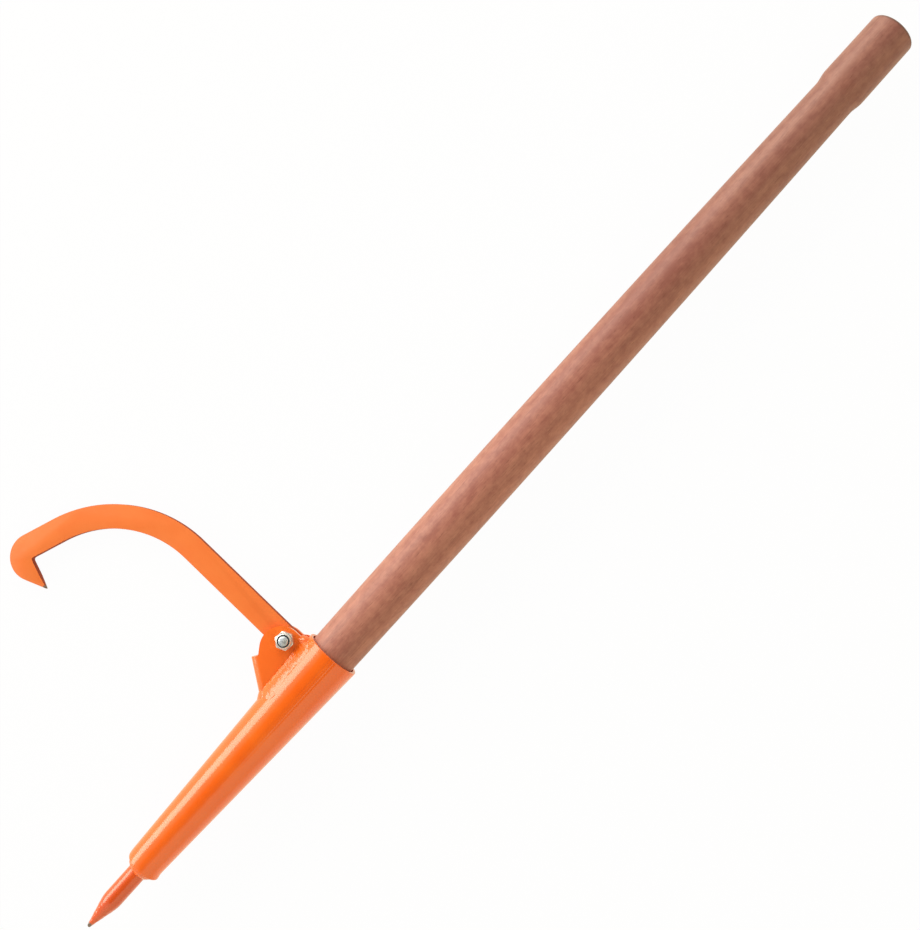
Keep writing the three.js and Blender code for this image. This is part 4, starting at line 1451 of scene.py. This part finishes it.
floor_bm = bmesh.new()
bmesh.ops.create_grid(floor_bm, x_segments=1, y_segments=1, size=FLOOR_SIZE / 2)
floor_mesh = bpy.data.meshes.new("floor")
floor_bm.to_mesh(floor_mesh)
floor_bm.free()
floor = bpy.data.objects.new("floor", floor_mesh)
floor.location.z = -FLOOR_DROP
floor.data.materials.append(white_floor())
scene.collection.objects.link(floor)

# %% [markdown]
# ## Light
#
# The gloss on the socket tells how the tool was lit. A broad pale band runs along the
# hook's side of the cone: a large softbox stood there, well away, reaching from just
# above the floor to about 36 degrees. The rest of the cone has an even, weaker sheen, as
# inside a light tent whose walls fall off a little towards the floor. The wall across
# from the lamp is brighter and more cream. Only above, around the camera, was it dark,
# which leaves the deep orange band along the middle.

# %% Softbox
WARM_WHITE = "#FFF8E8"
CREAM = "#FFEBC2"
LAMP_PLACE = Vector((-0.35, 3.73, 1.355))
LAMP_TARGET = Vector((-0.1, -0.12, 0.03))
LAMP_WIDTH = 8.25
LAMP_HEIGHT = 2.45
LAMP_RADIANCE = 4.3


def softbox():
    """A rectangular lamp that faces its target; radiance is how bright it looks."""
    light = bpy.data.lights.new("key_softbox", "AREA")
    light.shape = "RECTANGLE"
    light.size = LAMP_WIDTH
    light.size_y = LAMP_HEIGHT
    light.energy = LAMP_RADIANCE * LAMP_WIDTH * LAMP_HEIGHT * math.pi
    light.color = linear(WARM_WHITE)[:3]
    lamp = bpy.data.objects.new("key_softbox", light)
    lamp.location = LAMP_PLACE
    lamp.rotation_euler = (LAMP_TARGET - LAMP_PLACE).to_track_quat("-Z", "Y").to_euler()
    scene.collection.objects.link(lamp)
    return light


key_light = softbox()
print(key_light.name, "gives", round(key_light.energy, 1), "W")

# %% [markdown]
# The tent is the world's background. Its strength is a product: the dark opening round
# the camera, the fall towards the floor and the brighter side across from the lamp, each
# read from the direction one looks in.

# %% Light tent
OPENING_AXIS = (0.0, 0.06, 0.998)
OPENING_EDGE = (0.785, 0.875)
OPENING_LIGHT = 0.12

world = bpy.data.worlds.new("studio")
scene.world = world
world.use_nodes = True
sky = world.node_tree
direction = add(sky, "ShaderNodeTexCoord").outputs["Generated"]
parts = add(sky, "ShaderNodeSeparateXYZ", {0: direction}).outputs
opening = add(sky, VECTOR_MATH, (direction, OPENING_AXIS), operation="DOT_PRODUCT")
towards = opening.outputs["Value"]
dim = add(sky, RANGE, (towards, *OPENING_EDGE, 1.0, OPENING_LIGHT))
low = add(sky, RANGE, (parts["Z"], 0.0, 0.5, 0.65, 1.0))
near = add(sky, RANGE, (parts["Y"], -0.4, 0.4, 1.17, 0.65))
cream = add(sky, RANGE, (parts["Y"], -0.5, 0.2, 1.0, 0.0))
sides = add(sky, MATH, (low, near), operation="MULTIPLY")
bright = add(sky, MATH, (dim, sides), operation="MULTIPLY")
walls = add(sky, MIX, {0: cream, 6: linear(WARM_WHITE), 7: linear(CREAM)}, data_type="RGBA")
feed(sky, sky.nodes["Background"], {"Color": walls.outputs[2], "Strength": bright})
print("nodes in the tent:", len(sky.nodes))

# %% [markdown]
# ## Camera
#
# The camera looks straight down on the handle's axis from about 1.16 m, and the picture is
# turned so that the handle climbs at 48 degrees. The axis is level in the picture, though
# it lies four tenths of a degree off level on the floor. One millimetre at the axis is one
# pixel of a frame 930 pixels high, which fixes the focal length.

# %% Camera
CAMERA_HEIGHT = 1156.0
FRAME_HEIGHT_MM = 930.0
VIEW_X = 224.9
VIEW_Y = 32.2
HANDLE_SLOPE = 48.02

camera_data = bpy.data.cameras.new("camera")
camera_data.sensor_width = 36.0
camera_data.lens = camera_data.sensor_width * CAMERA_HEIGHT / FRAME_HEIGHT_MM
camera_data.clip_start = 0.01
camera = bpy.data.objects.new("camera", camera_data)
side_way = Vector((0, 1, 0))
view_up = tool_x.cross(side_way)
LEVEL = Matrix((tool_x, side_way, view_up)).transposed()
camera.location = tool_origin + LEVEL @ Vector((VIEW_X, VIEW_Y, CAMERA_HEIGHT)) * MM
in_picture = Matrix.Rotation(math.radians(-HANDLE_SLOPE), 3, "Z")
camera.rotation_euler = (LEVEL @ in_picture).to_euler()
scene.collection.objects.link(camera)
scene.camera = camera
scene.view_settings.view_transform = "Standard"
print("lens:", round(camera_data.lens, 2), "mm")
